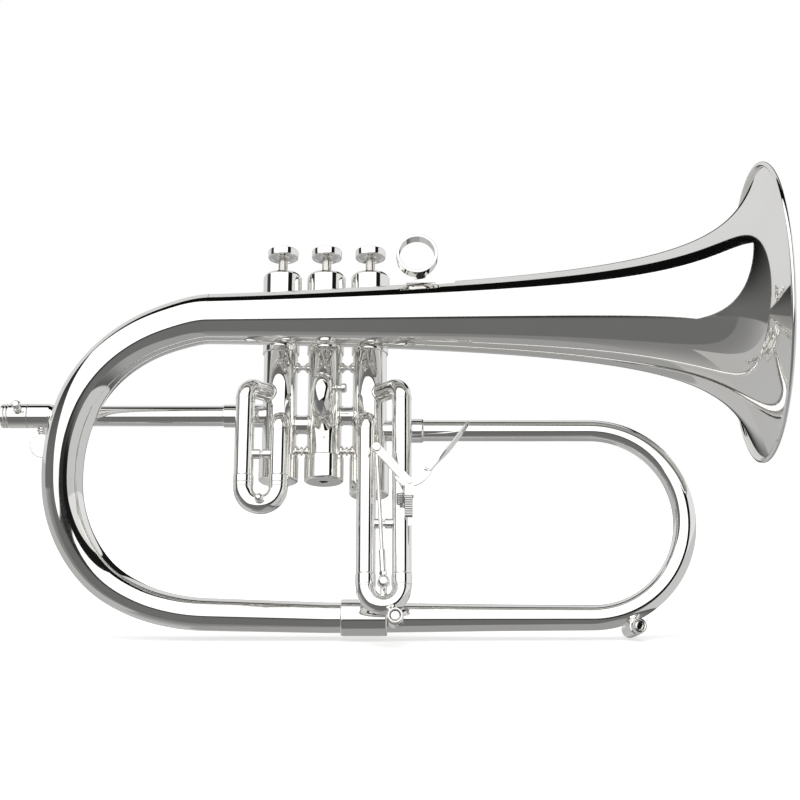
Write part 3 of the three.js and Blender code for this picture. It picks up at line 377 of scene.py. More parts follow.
def spool(start, end, profile, seats, sides=40):
    """A turned brace between two round walls. The profile lists the share of the way and the radius."""
    start, end = Vector(start), Vector(end)
    heading = (end - start).normalized()
    across = heading.orthogonal().normalized()
    middle = start.lerp(end, 0.5)
    loops = []
    for share, radius in profile:
        loop = []
        for point in circle(middle, across, heading.cross(across), radius, sides):
            loop.append(slid(point, -heading, seats[0]).lerp(slid(point, heading, seats[1]), share))
        loops.append(loop)
    ends = [[slid(middle, -heading, seats[0])], [slid(middle, heading, seats[1])]]
    return skin([ends[0], *loops, ends[1]])


def arc_points(x, z, radius, first, last, steps=14):
    turns = [math.radians(first + (last - first) * i / steps) for i in range(steps + 1)]
    return [(x + radius * math.cos(turn), z + radius * math.sin(turn)) for turn in turns]


def curve_points(start, pull, end, steps=8):
    start, pull, end = Vector(start), Vector(pull), Vector(end)
    ways = [i / steps for i in range(steps + 1)]
    return [tuple(start.lerp(pull, way).lerp(pull.lerp(end, way), way)) for way in ways]


def plate(outline, back, front):
    """A flat plate cut to an outline in x and z, between two places along y."""
    count = len(outline)
    points = [Vector((x, y, z)) for y in (back, front) for x, z in outline]
    faces = [tuple(range(count)), tuple(range(2 * count - 1, count - 1, -1))]
    faces += [(i, i + count, (i + 1) % count + count, (i + 1) % count) for i in range(count)]
    return outward(points, faces)


def carve(body, *cutters):
    """The body with the cutters' space taken out of it."""
    holders = []
    for points, faces in (body, *cutters):
        mesh = bpy.data.meshes.new("blank")
        mesh.from_pydata(points, [], faces)
        holders.append(in_scene("blank", mesh))
    blank = holders[0]
    for cutter in holders[1:]:
        change = blank.modifiers.new("cut", "BOOLEAN")
        change.operation = "DIFFERENCE"
        change.solver = "EXACT"
        change.object = cutter
    bpy.context.view_layer.update()
    result = blank.evaluated_get(bpy.context.evaluated_depsgraph_get())
    mesh = result.to_mesh()
    points = [vertex.co.copy() for vertex in mesh.vertices]
    faces = [tuple(polygon.vertices) for polygon in mesh.polygons]
    result.to_mesh_clear()
    for holder in holders:
        bpy.data.meshes.remove(holder.data)
    return points, faces


# ---- Materials ----

class Graph:
    """The nodes of one material or of the world, with short ways to add to them."""

    def __init__(self, tree):
        self.tree = tree

    def add(self, kind, **values):
        node = self.tree.nodes.new(kind)
        for name, value in values.items():
            setattr(node, name, value)
        return node

    def feed(self, socket, value):
        if isinstance(value, bpy.types.NodeSocket):
            self.tree.links.new(value, socket)
        else:
            socket.default_value = value

    def math(self, operation, *values):
        node = self.add("ShaderNodeMath", operation=operation)
        for socket, value in zip(node.inputs, values):
            self.feed(socket, value)
        return node.outputs[0]

    def dot(self, first, second):
        node = self.add("ShaderNodeVectorMath", operation="DOT_PRODUCT")
        self.feed(node.inputs[0], first)
        self.feed(node.inputs[1], second)
        return node.outputs["Value"]

    def span(self, value, low, high, first, last, smooth=True):
        """Runs from first to last as the value goes from low to high."""
        node = self.add("ShaderNodeMapRange", interpolation_type="SMOOTHSTEP" if smooth else "LINEAR")
        for socket, number in zip(node.inputs, (value, low, high, first, last)):
            self.feed(socket, number)
        return node.outputs[0]

    def blend(self, share, first, second):
        node = self.add("ShaderNodeMix", data_type="RGBA")
        self.feed(node.inputs[0], share)
        self.feed(node.inputs[6], first)
        self.feed(node.inputs[7], second)
        return node.outputs[2]

    def noise(self, vector, scale, detail=2.0):
        node = self.add("ShaderNodeTexNoise")
        self.feed(node.inputs["Vector"], vector)
        node.inputs["Scale"].default_value = scale
        node.inputs["Detail"].default_value = detail
        return node.outputs["Fac"]


def new_material(name):
    """A material, its graph, its shader, and the place on the object that its patterns follow."""
    material = bpy.data.materials.new(name)
    material.use_nodes = True
    graph = Graph(material.node_tree)
    place = graph.add("ShaderNodeTexCoord").outputs["Object"]
    return material, graph, material.node_tree.nodes["Principled BSDF"], place


def metal(name, light, dark, polish, wave, fine):
    """A metal whose colour drifts between two tones, with a roughness and a surface that vary a little.
    wave and fine are the depths of its long ripples and of its fine marks, in metres."""
    material, graph, shader, place = new_material(name)
    shader.inputs["Metallic"].default_value = 1.0
    drift = graph.span(graph.noise(place, 14, 3), 0.35, 0.7, 0, 1)
    spots = graph.span(graph.noise(place, 260, 2), 0.55, 0.8, 0, 0.35)
    share = graph.math("MAXIMUM", drift, spots)
    graph.feed(shader.inputs["Base Color"], graph.blend(share, (*light, 1), (*dark, 1)))
    rough = graph.span(graph.noise(place, 700, 3), 0.3, 0.75, *polish)
    graph.feed(shader.inputs["Roughness"], rough)
    ripple = graph.add("ShaderNodeBump")
    ripple.inputs["Distance"].default_value = wave
    graph.feed(ripple.inputs["Height"], graph.noise(place, 55, 1))
    marks = graph.add("ShaderNodeBump")
    marks.inputs["Distance"].default_value = fine
    graph.feed(marks.inputs["Height"], graph.noise(place, 1500, 2))
    graph.feed(marks.inputs["Normal"], ripple.outputs[0])
    graph.feed(shader.inputs["Normal"], marks.outputs[0])
    return material


def pearl():
    """The shell inlay of a finger button: a pale clouded colour under a clear coat."""
    material, graph, shader, place = new_material("pearl")
    shader.inputs["Coat Weight"].default_value = 0.8
    shader.inputs["Coat Roughness"].default_value = 0.05
    clouds = graph.span(graph.noise(place, 180, 4), 0.3, 0.7, 0, 1)
    rose = graph.blend(clouds, (0.86, 0.84, 0.80, 1), (0.78, 0.72, 0.72, 1))
    green = graph.span(graph.noise(place, 95, 3), 0.45, 0.7, 0, 0.6)
    graph.feed(shader.inputs["Base Color"], graph.blend(green, rose, (0.66, 0.78, 0.74, 1)))
    graph.feed(shader.inputs["Roughness"], graph.span(graph.noise(place, 400, 2), 0.3, 0.7, 0.18, 0.32))
    return material


METALS = {
    "silver_plate": ((0.95, 0.945, 0.93), (0.90, 0.89, 0.86), (0.03, 0.065), 1.2e-5, 4e-8),
    "nickel_alloy": ((0.74, 0.72, 0.68), (0.64, 0.62, 0.58), (0.18, 0.30), 6e-6, 4e-7),
    "spring_steel": ((0.62, 0.62, 0.62), (0.50, 0.50, 0.51), (0.22, 0.36), 6e-6, 6e-7),
}
FINISHES = {name: metal(name, *values) for name, values in METALS.items()}
FINISHES["pearl"] = pearl()
BODY_OF = {node: body for body, nodes in frame["record"]["behaviour"]["bodies"].items() for node in nodes}
SLOT_OF = {part["node"]: part["material_slot"] for part in frame["record"]["subparts"]}


def dressed(name, shell, finish, ease):
    """The shell as an object in the scene, with its material, its smooth faces and its crisp edges."""
    points, faces = shell
    mesh = bpy.data.meshes.new(name)
    mesh.from_pydata([point * MM for point in points], [], faces)
    mesh.validate()
    mesh.materials.append(FINISHES[finish])
    mesh.shade_smooth()
    made = in_scene(name, mesh)
    if ease:
        softened = made.modifiers.new("edges", "BEVEL")
        softened.width = ease * MM
        softened.segments = 3
        softened.limit_method = "ANGLE"
        softened.angle_limit = BEVEL_ANGLE
    else:
        mesh.set_sharp_from_angle(angle=CREASE_ANGLE)
    even = made.modifiers.new("normals", "WEIGHTED_NORMAL")
    even.keep_sharp = True
    return made


def stand_for(node, shell, ease=0):
    """Puts a shell in a CAD node's place, on the node's own body."""
    made = dressed(f"{node}_skin", shell, SLOT_OF[node], ease)
    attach(made, BODY_OF[node])
    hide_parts(node)
    return made


# ---- Bell and bows ----

BELL_AXIS = Vector((math.cos(BELL_RISE), 0, math.sin(BELL_RISE)))
BELL_LENGTH = (BELL_RIM.x - BACK_BOW_X) / BELL_AXIS.x + BACK_BOW_RADIUS * math.sin(BELL_RISE)


def bell_radius(back):
    """The flare's outer radius. Its tail straightens a little, to run on into the back bow."""
    flare = RIM_RADIUS * (FLARE_START / (back + FLARE_START)) ** FLARE_POWER
    straighter = TAIL_EASE * max(back - BELL_LENGTH + TAIL_STRETCH, 0) ** 2
    return flare - TAIL_TAPER * back + straighter


def bell_inner_radius(back):
    step = 0.01
    slope = (bell_radius(back + step) - bell_radius(back)) / step
    return bell_radius(back) - WALL * math.hypot(1, slope)


def bell():
    """The flare, its tail and the bead rolled round its rim."""
    stations, crowding, bead = 130, 2.3, 1.3
    first = 0.9
    ways = [(i / stations) ** crowding for i in range(stations + 1)]
    outside = [(bell_radius(first + (BELL_LENGTH - first) * way), -first - (BELL_LENGTH - first) * way)
               for way in ways]
    inside = [(bell_inner_radius(BELL_LENGTH * way), -BELL_LENGTH * way) for way in ways]
    steps, start, end = 22, 90, -195
    turns = [math.radians(start + (end - start) * i / steps) for i in range(steps + 1)]
    rim = [(RIM_RADIUS - bead + bead * math.cos(turn), -bead + bead * math.sin(turn)) for turn in turns]
    stand_for("bell", aimed(lathe(inside[::-1] + rim + outside, BELL_SIDES), BELL_AXIS, BELL_RIM))


def smooth_through(values, way, past=None):
    """A smooth curve through evenly spaced values. The two values past its ends set its slope there."""
    last = len(values) - 1
    past = past or (2 * values[0] - values[1], 2 * values[-1] - values[-2])
    at = min(int(way * last), last - 1)
    t = way * last - at
    low, high = values[at], values[at + 1]
    before = values[at - 1] if at else past[0]
    after = values[at + 2] if at + 2 <= last else past[1]
    bent = (high - before) * t + (2 * before - 5 * low + 4 * high - after) * t * t
    return low + 0.5 * (bent + (3 * low - before - 3 * high + after) * t ** 3)


def bow_place(way):
    reach = BACK_BOW_RADIUS + smooth_through(BACK_BOW_SWELL, way, BACK_BOW_SWELL_PAST)
    turn = math.pi * (0.5 + way)
    return Vector((BACK_BOW_X + reach * math.cos(turn), BELL_Y, BACK_BOW_Z + reach * math.sin(turn)))


def back_bow():
    """From the bell's tail round to the lower tube, which drops a little and then runs level."""
    steps, step, first = 120, 0.001, BELL_RISE / math.pi
    curved = []
    for i in range(steps + 1):
        way = first + (1 - first) * i / steps
        place = bow_place(way)
        curved.append((place, (bow_place(min(way + step, 1)) - bow_place(min(way, 1 - step))).normalized()))
    rows = stretch(curved, lambda way: smooth_through(BACK_BOW_RADII, way),
                   lambda way: smooth_through(BACK_BOW_RADII, way) - WALL)
    level = (LOWER_BEND_X, BELL_Y, LOWER_Z)
    runs = (
        (line(bow_place(1), level, 4), BACK_BOW_RADII[-1], LOWER_BEND_RADIUS),
        (line(level, (LOWER_JOINT_X, BELL_Y, LOWER_Z), 2), LOWER_BEND_RADIUS, LOWER_JOINT_RADIUS),
    )
    for path, wide, narrow in runs:
        rows += stretch(path, (wide, narrow), (wide - WALL, narrow - WALL))[1:]
    stand_for("back_bow", tube(rows, BOW_SIDES))


OUTLET = Vector((0, OUTLET_Z * math.sin(TILT), OUTLET_Z * math.cos(TILT)))
VALVE_AXIS = Vector((0, math.sin(TILT), math.cos(TILT)))


def front_bow_rows(extra=0, wall=WALL):
    """From the third valve forwards, round the leaning front bow and back along the bottom."""
    start = Vector((PITCH + CASING_RADIUS + 1, OUTLET.y, OUTLET.z))
    top = Vector((FRONT_BOW_X, OUTLET.y, OUTLET.z))
    bottom = Vector((FRONT_BOW_X, BELL_Y, LOWER_Z))
    across = bottom - top
    bow = bend(top, X, across.normalized(), across.length / 2, math.pi, 90)
    at_valve, after_bow, narrow, joint = (radius + extra for radius in FRONT_BOW_RADII)
    middle = (NARROW_X, BELL_Y, LOWER_Z)
    runs = (
        (line(start, top, 3), at_valve, at_valve),
        (bow, at_valve, after_bow),
        (line(bottom, middle, 3), after_bow, narrow),
        (line(middle, (LOWER_JOINT_X, BELL_Y, LOWER_Z), 3), narrow, joint),
    )
    rows = []
    for path, first, last in runs:
        bore = None if wall is None else (first - wall, last - wall)
        rows += stretch(path, (first, last), bore)[1 if rows else 0:]
    return rows


def front_bow():
    casing = (Vector((PITCH, 0, 0)), VALVE_AXIS, CASING_RADIUS - SEAT_DEPTH)
    stand_for("front_bow", tube(front_bow_rows(), BOW_SIDES, seats=(casing, None)))


def collars():
    """The ferrule over the lower joint and the short sleeve next to the third valve."""
    lower = [(8.0, 9.4), (9.2, 9.4), (9.65, 10.0), (9.65, 33.3), (9.2, 33.9), (7.6, 33.9)]
    shell = lathe(eased(lower, 0.35), BOW_SIDES)
    stand_for("lower_ferrule", aimed(shell, X, (0, BELL_Y, LOWER_Z)))
    sleeve = [(5.4, 46.8), (6.1, 46.8), (6.4, 47.2), (6.4, 52.5), (6.0, 53.3), (5.4, 53.5)]
    stand_for("front_bow_sleeve", aimed(lathe(eased(sleeve, 0.3), BOW_SIDES), X, OUTLET))


# ---- Mouthpipe ----

def mouthpipe():
    sleeve = MOUTHPIPE_SLEEVE["x"]
    outside = line((FIXED_SLEEVE_X[0] + 0.4, 0, 0), (sleeve, 0, 0), 2)
    inside = line((sleeve + 0.4, 0, 0), (VALVES[0] - CASING_RADIUS - 1, 0, 0), 2)
    rows = stretch(outside, MOUTHPIPE_RADIUS, MOUTHPIPE_BORE)
    rows += stretch(inside, MOUTHPIPE_SLEEVE["radius"], MOUTHPIPE_BORE)
    casing = (Vector((VALVES[0], 0, 0)), VALVE_AXIS, CASING_RADIUS - SEAT_DEPTH)
    stand_for("mouthpipe", tube(rows, TUBE_SIDES, seats=(None, casing)))


def receiver_sleeve():
    left, right = FIXED_SLEEVE_X
    inner = MOUTHPIPE_RADIUS - 0.05
    outer = RECEIVER_RADIUS
    profile = [(inner, left), (outer - 0.1, left), (outer, left + 0.2), (outer, right - 2.2),
               (outer - 0.35, right - 1.2), (inner + 0.3, right - 0.2), (inner, right)]
    sleeve = aimed(lathe(eased(profile, 0.35), BOW_SIDES), X, (0, 0, 0))
    nut = aimed(band(2.45, 1.5, 5.9, 7.2, 0.25), -Z, (SPADE_X, 0, 0))
    lip = aimed(band(2.7, 1.5, 7.35, 8.4, 0.3), -Z, (SPADE_X, 0, 0))
    stand_for("receiver_sleeve", merged(sleeve, nut, lip))


def spade_screw():
    """A thumb screw with a thin spade-shaped head."""
    x = SPADE_X
    outline = curve_points((x - 1.1, -9.3), (x - 1.5, -10.9), (x - 4.7, -11.9), 10)
    outline += arc_points(x, -15.9, 6.6, 143, 397, 44)
    outline += curve_points((x + 4.7, -11.9), (x + 1.5, -10.9), (x + 1.1, -9.3), 10)
    blade = plate(outline, 0.5, -0.5)
    shaft = rod((x, 0, -6.4), (x, 0, -9.8), 1.3)
    shoulder = aimed(band(2.15, 0.6, 8.65, 9.8, 0.4), -Z, (x, 0, 0))
    stand_for("spade_screw", merged(blade, shaft, shoulder), ease=0.35)


LOCK_DIRECTION = Vector((0, -math.cos(LOCK_ANGLE), math.sin(LOCK_ANGLE)))


def mouthpiece_receiver():
    """The sliding receiver, with two turned grooves near its mouth and its long inner tube."""
    left, right = RECEIVER_X
    outer, groove = RECEIVER_RADIUS, 0.45
    mouth, shoulder, tail = 4.9, 4.4, 4.3
    profile = [(shoulder, right), (mouth, left), (outer - 0.9, left), (outer - 0.25, left + 0.4)]
    for middle in (left + 2.2, left + 3.9):
        profile += [(outer, middle - 0.5), (outer - groove, middle), (outer, middle + 0.5)]
    inner = MOUTHPIPE_BORE - 0.08
    profile += [(outer, right - 0.15), (outer - 0.2, right), (inner, right),
                (inner, RECEIVER_TAIL_X), (tail, RECEIVER_TAIL_X)]
    body = aimed(lathe(eased(profile, 0.25, 3), BOW_SIDES), X, (0, 0, 0))
    boss = aimed(band(2.35, 1.3, 5.6, 8.3, 0.3), LOCK_DIRECTION, (LOCK_X, 0, 0))
    stand_for("mouthpiece_receiver", merged(body, boss))


def lock_screw():
    profile = [(0, 5.6), (1.3, 5.6), (1.3, 8.45), (2.25, 8.55), (2.3, 9.5), (1.5, 9.8), (1.45, 10.3),
               (2.35, 11), (2.45, 12.6), (1.7, 13.8), (0, 14)]
    shell = lathe(eased(profile, 0.45), 48)
    stand_for("mouthpiece_lock_screw", aimed(shell, LOCK_DIRECTION, (LOCK_X, 0, 0)))


def mouthpipe_flange():
    """A small waisted brace where the mouthpipe crosses behind the back bow."""
    reach = BACK_BOW_RADIUS + PIPE_CROSSING_SWELL
    slope = math.asin(-BACK_BOW_Z / reach)
    crossing = BACK_BOW_X - reach * math.cos(slope)
    heading = Vector((math.sin(slope), 0, math.cos(slope)))
    bow_radius = 11.4
    seats = (
        (Vector((crossing, 0, 0)), X, MOUTHPIPE_RADIUS - SEAT_DEPTH),
        (Vector((crossing, BELL_Y, 0)), heading, bow_radius - SEAT_DEPTH),
    )
    profile = [(0, 3), (0.25, 2.9), (0.4, 2.5), (0.6, 2.5), (0.75, 2.9), (1, 3)]
    start, end = (crossing, -6.2, 0), (crossing, -7, 0)
    stand_for("mouthpipe_flange", spool(start, end, profile, seats))


# ---- Valves ----

# A function that makes one piece of a valve is named as the piece's node is.

def casing(valve):
    floor, roof = BOTTOM_CAP_FLOORS[valve] + 2.2, TOP_CAP_Z[1] - 2.4
    collar_top = TOP_CAP_Z[0] - 0.15
    profile = [(CASING_BORE, floor), (CASING_RADIUS, floor), (CASING_RADIUS, COLLAR_Z),
               (COLLAR_RADIUS, COLLAR_Z), (COLLAR_RADIUS, collar_top), (CASING_RADIUS, collar_top),
               (CASING_RADIUS, roof), (CASING_BORE, roof)]
    return lathe(eased(profile, 0.3), CASING_SIDES)


def bottom_cap(valve):
    floor = BOTTOM_CAP_FLOORS[valve]
    inner, vent = CAP_BORE, 2.5
    profile = [(vent, floor), (CAP_RADIUS - 0.9, floor), (CAP_RADIUS, floor + 0.9),
               (CAP_RADIUS, BOTTOM_CAP_TOP - 0.5), (CAP_RADIUS - 0.4, BOTTOM_CAP_TOP),
               (inner, BOTTOM_CAP_TOP), (inner, floor + 1.6), (vent, floor + 1.6)]
    return lathe(eased(profile, 0.4), CASING_SIDES)


def top_cap(valve):
    bottom, top = TOP_CAP_Z
    inner, hole = CAP_BORE, STEM_RADIUS + 0.4
    profile = [(inner, bottom), (CAP_RADIUS - 0.3, bottom), (CAP_RADIUS, bottom + 0.4),
               (CAP_RADIUS, top - 1.7), (CAP_RADIUS - 1.2, top - 0.1), (CAP_RADIUS - 2.2, top),
               (hole, top), (hole, top - 1.8), (inner, top - 1.8)]
    return lathe(eased(profile, 0.3), CASING_SIDES)


def ports(valve):
    """Where each tube enters a valve: its height, and the direction in which it leaves the valve."""
    to_slide_1, to_slide_3 = -SLIDE_1_HEADINGS[0], -SLIDE_3_HEADINGS[1]
    return (
        ((0, -X), (KNUCKLE_12_Z, X), (FAR_PORT_Z, to_slide_1), (NEAR_PORT_Z, FRONT)),
        ((KNUCKLE_12_Z, -X), (KNUCKLE_23_Z, X), (SLIDE_2["ports"][0], FRONT), (SLIDE_2["ports"][1], FRONT)),
        ((KNUCKLE_23_Z, -X), (OUTLET_Z, X), (NEAR_PORT_Z, FRONT), (FAR_PORT_Z, to_slide_3)),
    )[valve]


def piston(valve):
    """The piston with its passages, the slotted spring barrel above it, and the stem."""
    radius, barrel, hollow = CASING_BORE - 0.08, 6.6, 5.9
    bottom, top = PISTON["bottom"], PISTON["top"]
    stem_top = BUTTON_Z + 0.1
    profile = [(0, bottom + 5), (radius - 1, bottom + 4), (radius - 1, bottom), (radius, bottom),
               (radius, top), (barrel, top + 1), (barrel, PISTON["barrel_top"]),
               (STEM_RADIUS, PISTON["barrel_top"]), (STEM_RADIUS, stem_top), (0, stem_top)]
    spring_room = disc(hollow, top + 1, PISTON["barrel_top"] - 2)
    low, high = PISTON["slot"]
    corners = [(-2.2, low), (2.2, low), (2.2, high), (-2.2, high)]
    slot = plate(corners, 9, -9)
    inlet, outlet, slide_a, slide_b = ports(valve)
    wall = 12

    def passage(start, end, lift):
        places = [direction * wall + Z * (height + lift) for height, direction in (start, end)]
        return rod(*places, PORT_RADIUS - 0.6, sides=32)

    passages = (passage(inlet, outlet, 0), passage(inlet, slide_a, TRAVEL), passage(slide_b, outlet, TRAVEL))
    return carve(lathe(eased(profile, 0.25), 72), spring_room, slot, *passages)


def finger_button(valve):
    """A shallow dish, hollow round its stem below, with a seat for its inlay on top."""
    bottom, top, radius = BUTTON_Z, BUTTON_TOP, BUTTON_RADIUS
    profile = [(0, bottom), (3.1, bottom), (3.5, bottom + 0.9), (6.5, bottom + 0.9), (7.0, bottom + 0.1),
               (radius - 0.5, bottom), (radius, bottom + 0.5), (radius, top - 0.25), (radius - 0.25, top),
               (6.5, top - 0.05), (6.4, INLAY_BOTTOM), (0, INLAY_BOTTOM)]
    return lathe(eased(profile, 0.3), 80)


def valve_guide(_):
    """The same in every valve: a disc with a key across it, which the barrel's slot slides along."""
    bottom, top = GUIDE_Z
    corners = [(-1.8, bottom), (1.8, bottom), (1.8, top), (-1.8, top)]
    return merged(disc(5.6, bottom, top), plate(corners, 7.8, -7.8))


def coil(radius, wire, bottom, top, turns):
    """A round wire wound about z, from the middle of its lowest turn to the middle of its highest."""
    steps = turns * 28
    climb = (top - bottom) / (2 * math.pi * turns)
    path = []
    for i in range(steps + 1):
        way = i / steps
        turn = 2 * math.pi * turns * way
        place = Vector((radius * math.cos(turn), radius * math.sin(turn), bottom + (top - bottom) * way))
        heading = Vector((-radius * math.sin(turn), radius * math.cos(turn), climb)).normalized()
        path.append((place, heading))
    return tube(stretch(path, wire / 2), 12, X)


def inlay(valve):
    """The pearl disc in a finger button's seat."""
    profile = [(0, INLAY_BOTTOM), (INLAY_RADIUS, INLAY_BOTTOM), (INLAY_RADIUS, BUTTON_TOP - 0.15),
               (0, BUTTON_TOP)]
    shell = lathe(eased(profile, 0.2), 72)
    shell = leaned(aimed(shell, Z, (VALVES[valve], 0, 0)))
    made = dressed(f"button_inlay_{valve + 1}", shell, "pearl", 0)
    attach(made, f"valve_{valve + 1}")


def valves():
    makers = (casing, bottom_cap, top_cap, piston, finger_button, valve_guide)
    for valve, x in enumerate(VALVES):
        for maker in makers:
            stand_for(f"{maker.__name__}_{valve + 1}", leaned(aimed(maker(valve), Z, (x, 0, 0))))
        inlay(valve)
        low, high = SPRING_Z
        radius, wire, turns = 4.4, 1, 9
        spring = coil(radius, wire, low + wire / 2, high - wire / 2, turns)
        made = stand_for(f"valve_spring_{valve + 1}", leaned(aimed(spring, Z, (x, 0, 0))))
        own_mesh(made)


def flange(place, towards, wall, outer, inner, height=1.1):
    """A soldered collar round a tube's end: one face lies on a round wall, the other stands off it."""
    centre, axis, radius = wall
    across = towards.orthogonal().normalized()
    up = towards.cross(across)
    loops = []
    for size, rise in ((outer - 0.15, 0), (outer, 0.15), (outer, height - 0.35), (outer - 0.3, height),
                       (inner, height), (inner, 0)):
        seat = (centre, axis, radius + rise)
        loops.append([slid(point, towards, seat) for point in circle(place, across, up, size, TUBE_SIDES)])
    return skin(loops, closed=True)


def casing_seat(valve, radius=CASING_RADIUS):
    return (Vector((VALVES[valve], 0, 0)), Z, radius - SEAT_DEPTH)


# A brace's shape: the share of the way along it, and its radius as a share of its feet's.
BRACE_PROFILE = [(0, 1), (0.16, 0.97), (0.2, 0.86), (0.3, 0.55), (0.4, 0.42), (0.6, 0.42), (0.7, 0.55),
                 (0.8, 0.86), (0.84, 0.97), (1, 1)]
BEAD_PROFILE = [(0, 1), (0.14, 0.97), (0.18, 0.8), (0.28, 0.5), (0.38, 0.46), (0.42, 0.7), (0.5, 0.8),
                (0.58, 0.7), (0.62, 0.46), (0.72, 0.5), (0.82, 0.8), (0.86, 0.97), (1, 1)]
# The braces between two valves: their height, and the radius and shape of their feet and waist.
BRACES = (("upper", 27.5, 2.9, BRACE_PROFILE), ("lower", -19.9, 3.1, BEAD_PROFILE))


def scaled(profile, foot):
    """A brace's profile for feet of this radius."""
    return [(share, radius * foot) for share, radius in profile]


def between_valves():
    """The knuckle tubes and the turned braces from one valve to the next."""
    for valve, height in enumerate((KNUCKLE_12_Z, KNUCKLE_23_Z)):
        names = f"{valve + 1}_{valve + 2}"
        left, right = VALVES[valve] + CASING_RADIUS, VALVES[valve + 1] - CASING_RADIUS
        seats = (casing_seat(valve), casing_seat(valve + 1))
        rows = stretch(line((left + 1, 0, height), (right - 1, 0, height)), KNUCKLE_RADIUS, PORT_RADIUS)
        middle = Vector(((left + right) / 2, 0, height))
        ends = [flange(middle, way, seat, KNUCKLE_RADIUS + 0.5, KNUCKLE_RADIUS - 0.1)
                for way, seat in ((-X, seats[0]), (X, seats[1]))]
        stand_for(f"knuckle_{names}", leaned(merged(tube(rows, TUBE_SIDES, seats=seats), *ends)))
        for kind, z, foot, profile in BRACES:
            shell = spool((left, 0, z), (right, 0, z), scaled(profile, foot), seats)
            stand_for(f"{kind}_brace_{names}", leaned(shell))


def bell_braces():
    """From the collars of the first and third valves forwards to the bell's tail."""
    foot = 4
    for valve in (0, 2):
        x = VALVES[valve]
        bell_z = BELL_RIM.z - BELL_RISE * (BELL_RIM.x - x)
        height = BELL_Y * math.sin(TILT) + bell_z * math.cos(TILT)
        depth = BELL_Y * math.cos(TILT) - bell_z * math.sin(TILT)
        bell_seat = (Vector((x, depth, height)), X, bell_radius(BELL_RIM.x - x) - SEAT_DEPTH)
        seats = (casing_seat(valve, COLLAR_RADIUS), bell_seat)
        middle = (depth - COLLAR_RADIUS) / 2
        shell = spool((x, middle + 1, height), (x, middle - 1, height), scaled(BEAD_PROFILE, foot), seats)
        stand_for(f"bell_brace_{valve + 1}", leaned(shell))


# ---- Slides ----

def outer_leg(x, end, port_z, heading, valve):
    """Up from its open end, over an elbow and back into its valve."""
    turn_radius, edge = 6.2, 0.3
    turn_z = port_z - turn_radius
    mouth, above_mouth = (x, SLIDE_Y, end), (x, SLIDE_Y, end + edge)
    rows = stretch(line(mouth, above_mouth), (LEG_RADIUS - edge / 2, LEG_RADIUS), LEG_BORE)
    rows += stretch(line(above_mouth, (x, SLIDE_Y, turn_z), 2), LEG_RADIUS, LEG_BORE)[1:]
    elbow = bend((x, SLIDE_Y, turn_z), Z, heading, turn_radius, math.pi / 2, 18)
    rows += stretch(elbow, ELBOW_RADIUS, PORT_RADIUS)
    after = elbow[-1][0]
    rows += stretch(line(after, after + heading), ELBOW_RADIUS, PORT_RADIUS)[1:]
    seat = casing_seat(valve)
    root = flange(after, heading, seat, ELBOW_RADIUS + 0.5, ELBOW_RADIUS - 0.1, 1.0)
    joint = band(LEG_RADIUS + 0.15, LEG_RADIUS - 0.2, turn_z - 1.3, turn_z + 0.2, 0.2)
    joint = aimed(joint, Z, (x, SLIDE_Y, 0))
    return leaned(merged(tube(rows, TUBE_SIDES, seats=(None, seat)), root, joint))


def crook_bow(slide):
    """Places round a long slide's bow, from its left leg to its right one."""
    left, right = slide["legs"]
    return bend((left, SLIDE_Y, slide["crook"]), -Z, X, (right - left) / 2, math.pi, 48)


def crook(slide, ferrules):
    """A U-shaped bow with its ferrules and the inner legs that slide in the outer ones. The ferrules
    follow each other down each leg, and each is given by its outer radius and its length."""
    left, right = slide["legs"]
    inner, bore = INNER_LEG
    top = slide["ends"] - 0.25

    def leg(x, start, end):
        return line((x, SLIDE_Y, start), (x, SLIDE_Y, end))

    rows = stretch(leg(left, slide["inner_top"], top), inner, bore)
    rows += stretch(leg(left, top, slide["crook"]), LEG_RADIUS - 0.03, bore)
    rows += stretch(crook_bow(slide), LEG_RADIUS, bore)
    rows += stretch(leg(right, slide["crook"], top), LEG_RADIUS - 0.03, bore)
    rows += stretch(leg(right, top, slide["inner_top"]), inner, bore)
    bands = []
    for x in slide["legs"]:
        start = top
        for outer, length in ferrules:
            shell = band(outer, LEG_RADIUS - 0.2, start - length, start, 0.3)
            bands.append(aimed(shell, Z, (x, SLIDE_Y, 0)))
            start -= length + 0.1
    return merged(tube(rows, TUBE_SIDES), *bands)


def slide_brace(slide):
    left, right = slide["legs"]
    z = slide["brace"]
    seats = tuple((Vector((x, SLIDE_Y, 0)), Z, LEG_RADIUS - SEAT_DEPTH) for x in slide["legs"])
    profile = [(0, 2.6), (0.4, 2.6), (0.43, 2.5), (0.45, 2.2), (0.455, 1.5), (0.545, 1.5), (0.55, 2.2),
               (0.57, 2.5), (0.6, 2.6), (1, 2.6)]
    return leaned(spool((left, SLIDE_Y, z), (right, SLIDE_Y, z), profile, seats))


def outer_legs(number, slide, port_heights, headings):
    """A long slide's two outer legs, on the valve with its number, and the brace between them."""
    for side, x, port_z, heading in zip(("left", "right"), slide["legs"], port_heights, headings):
        stand_for(f"slide_{number}_leg_{side}", outer_leg(x, slide["ends"], port_z, heading, number - 1))
    stand_for(f"slide_{number}_brace", slide_brace(slide))


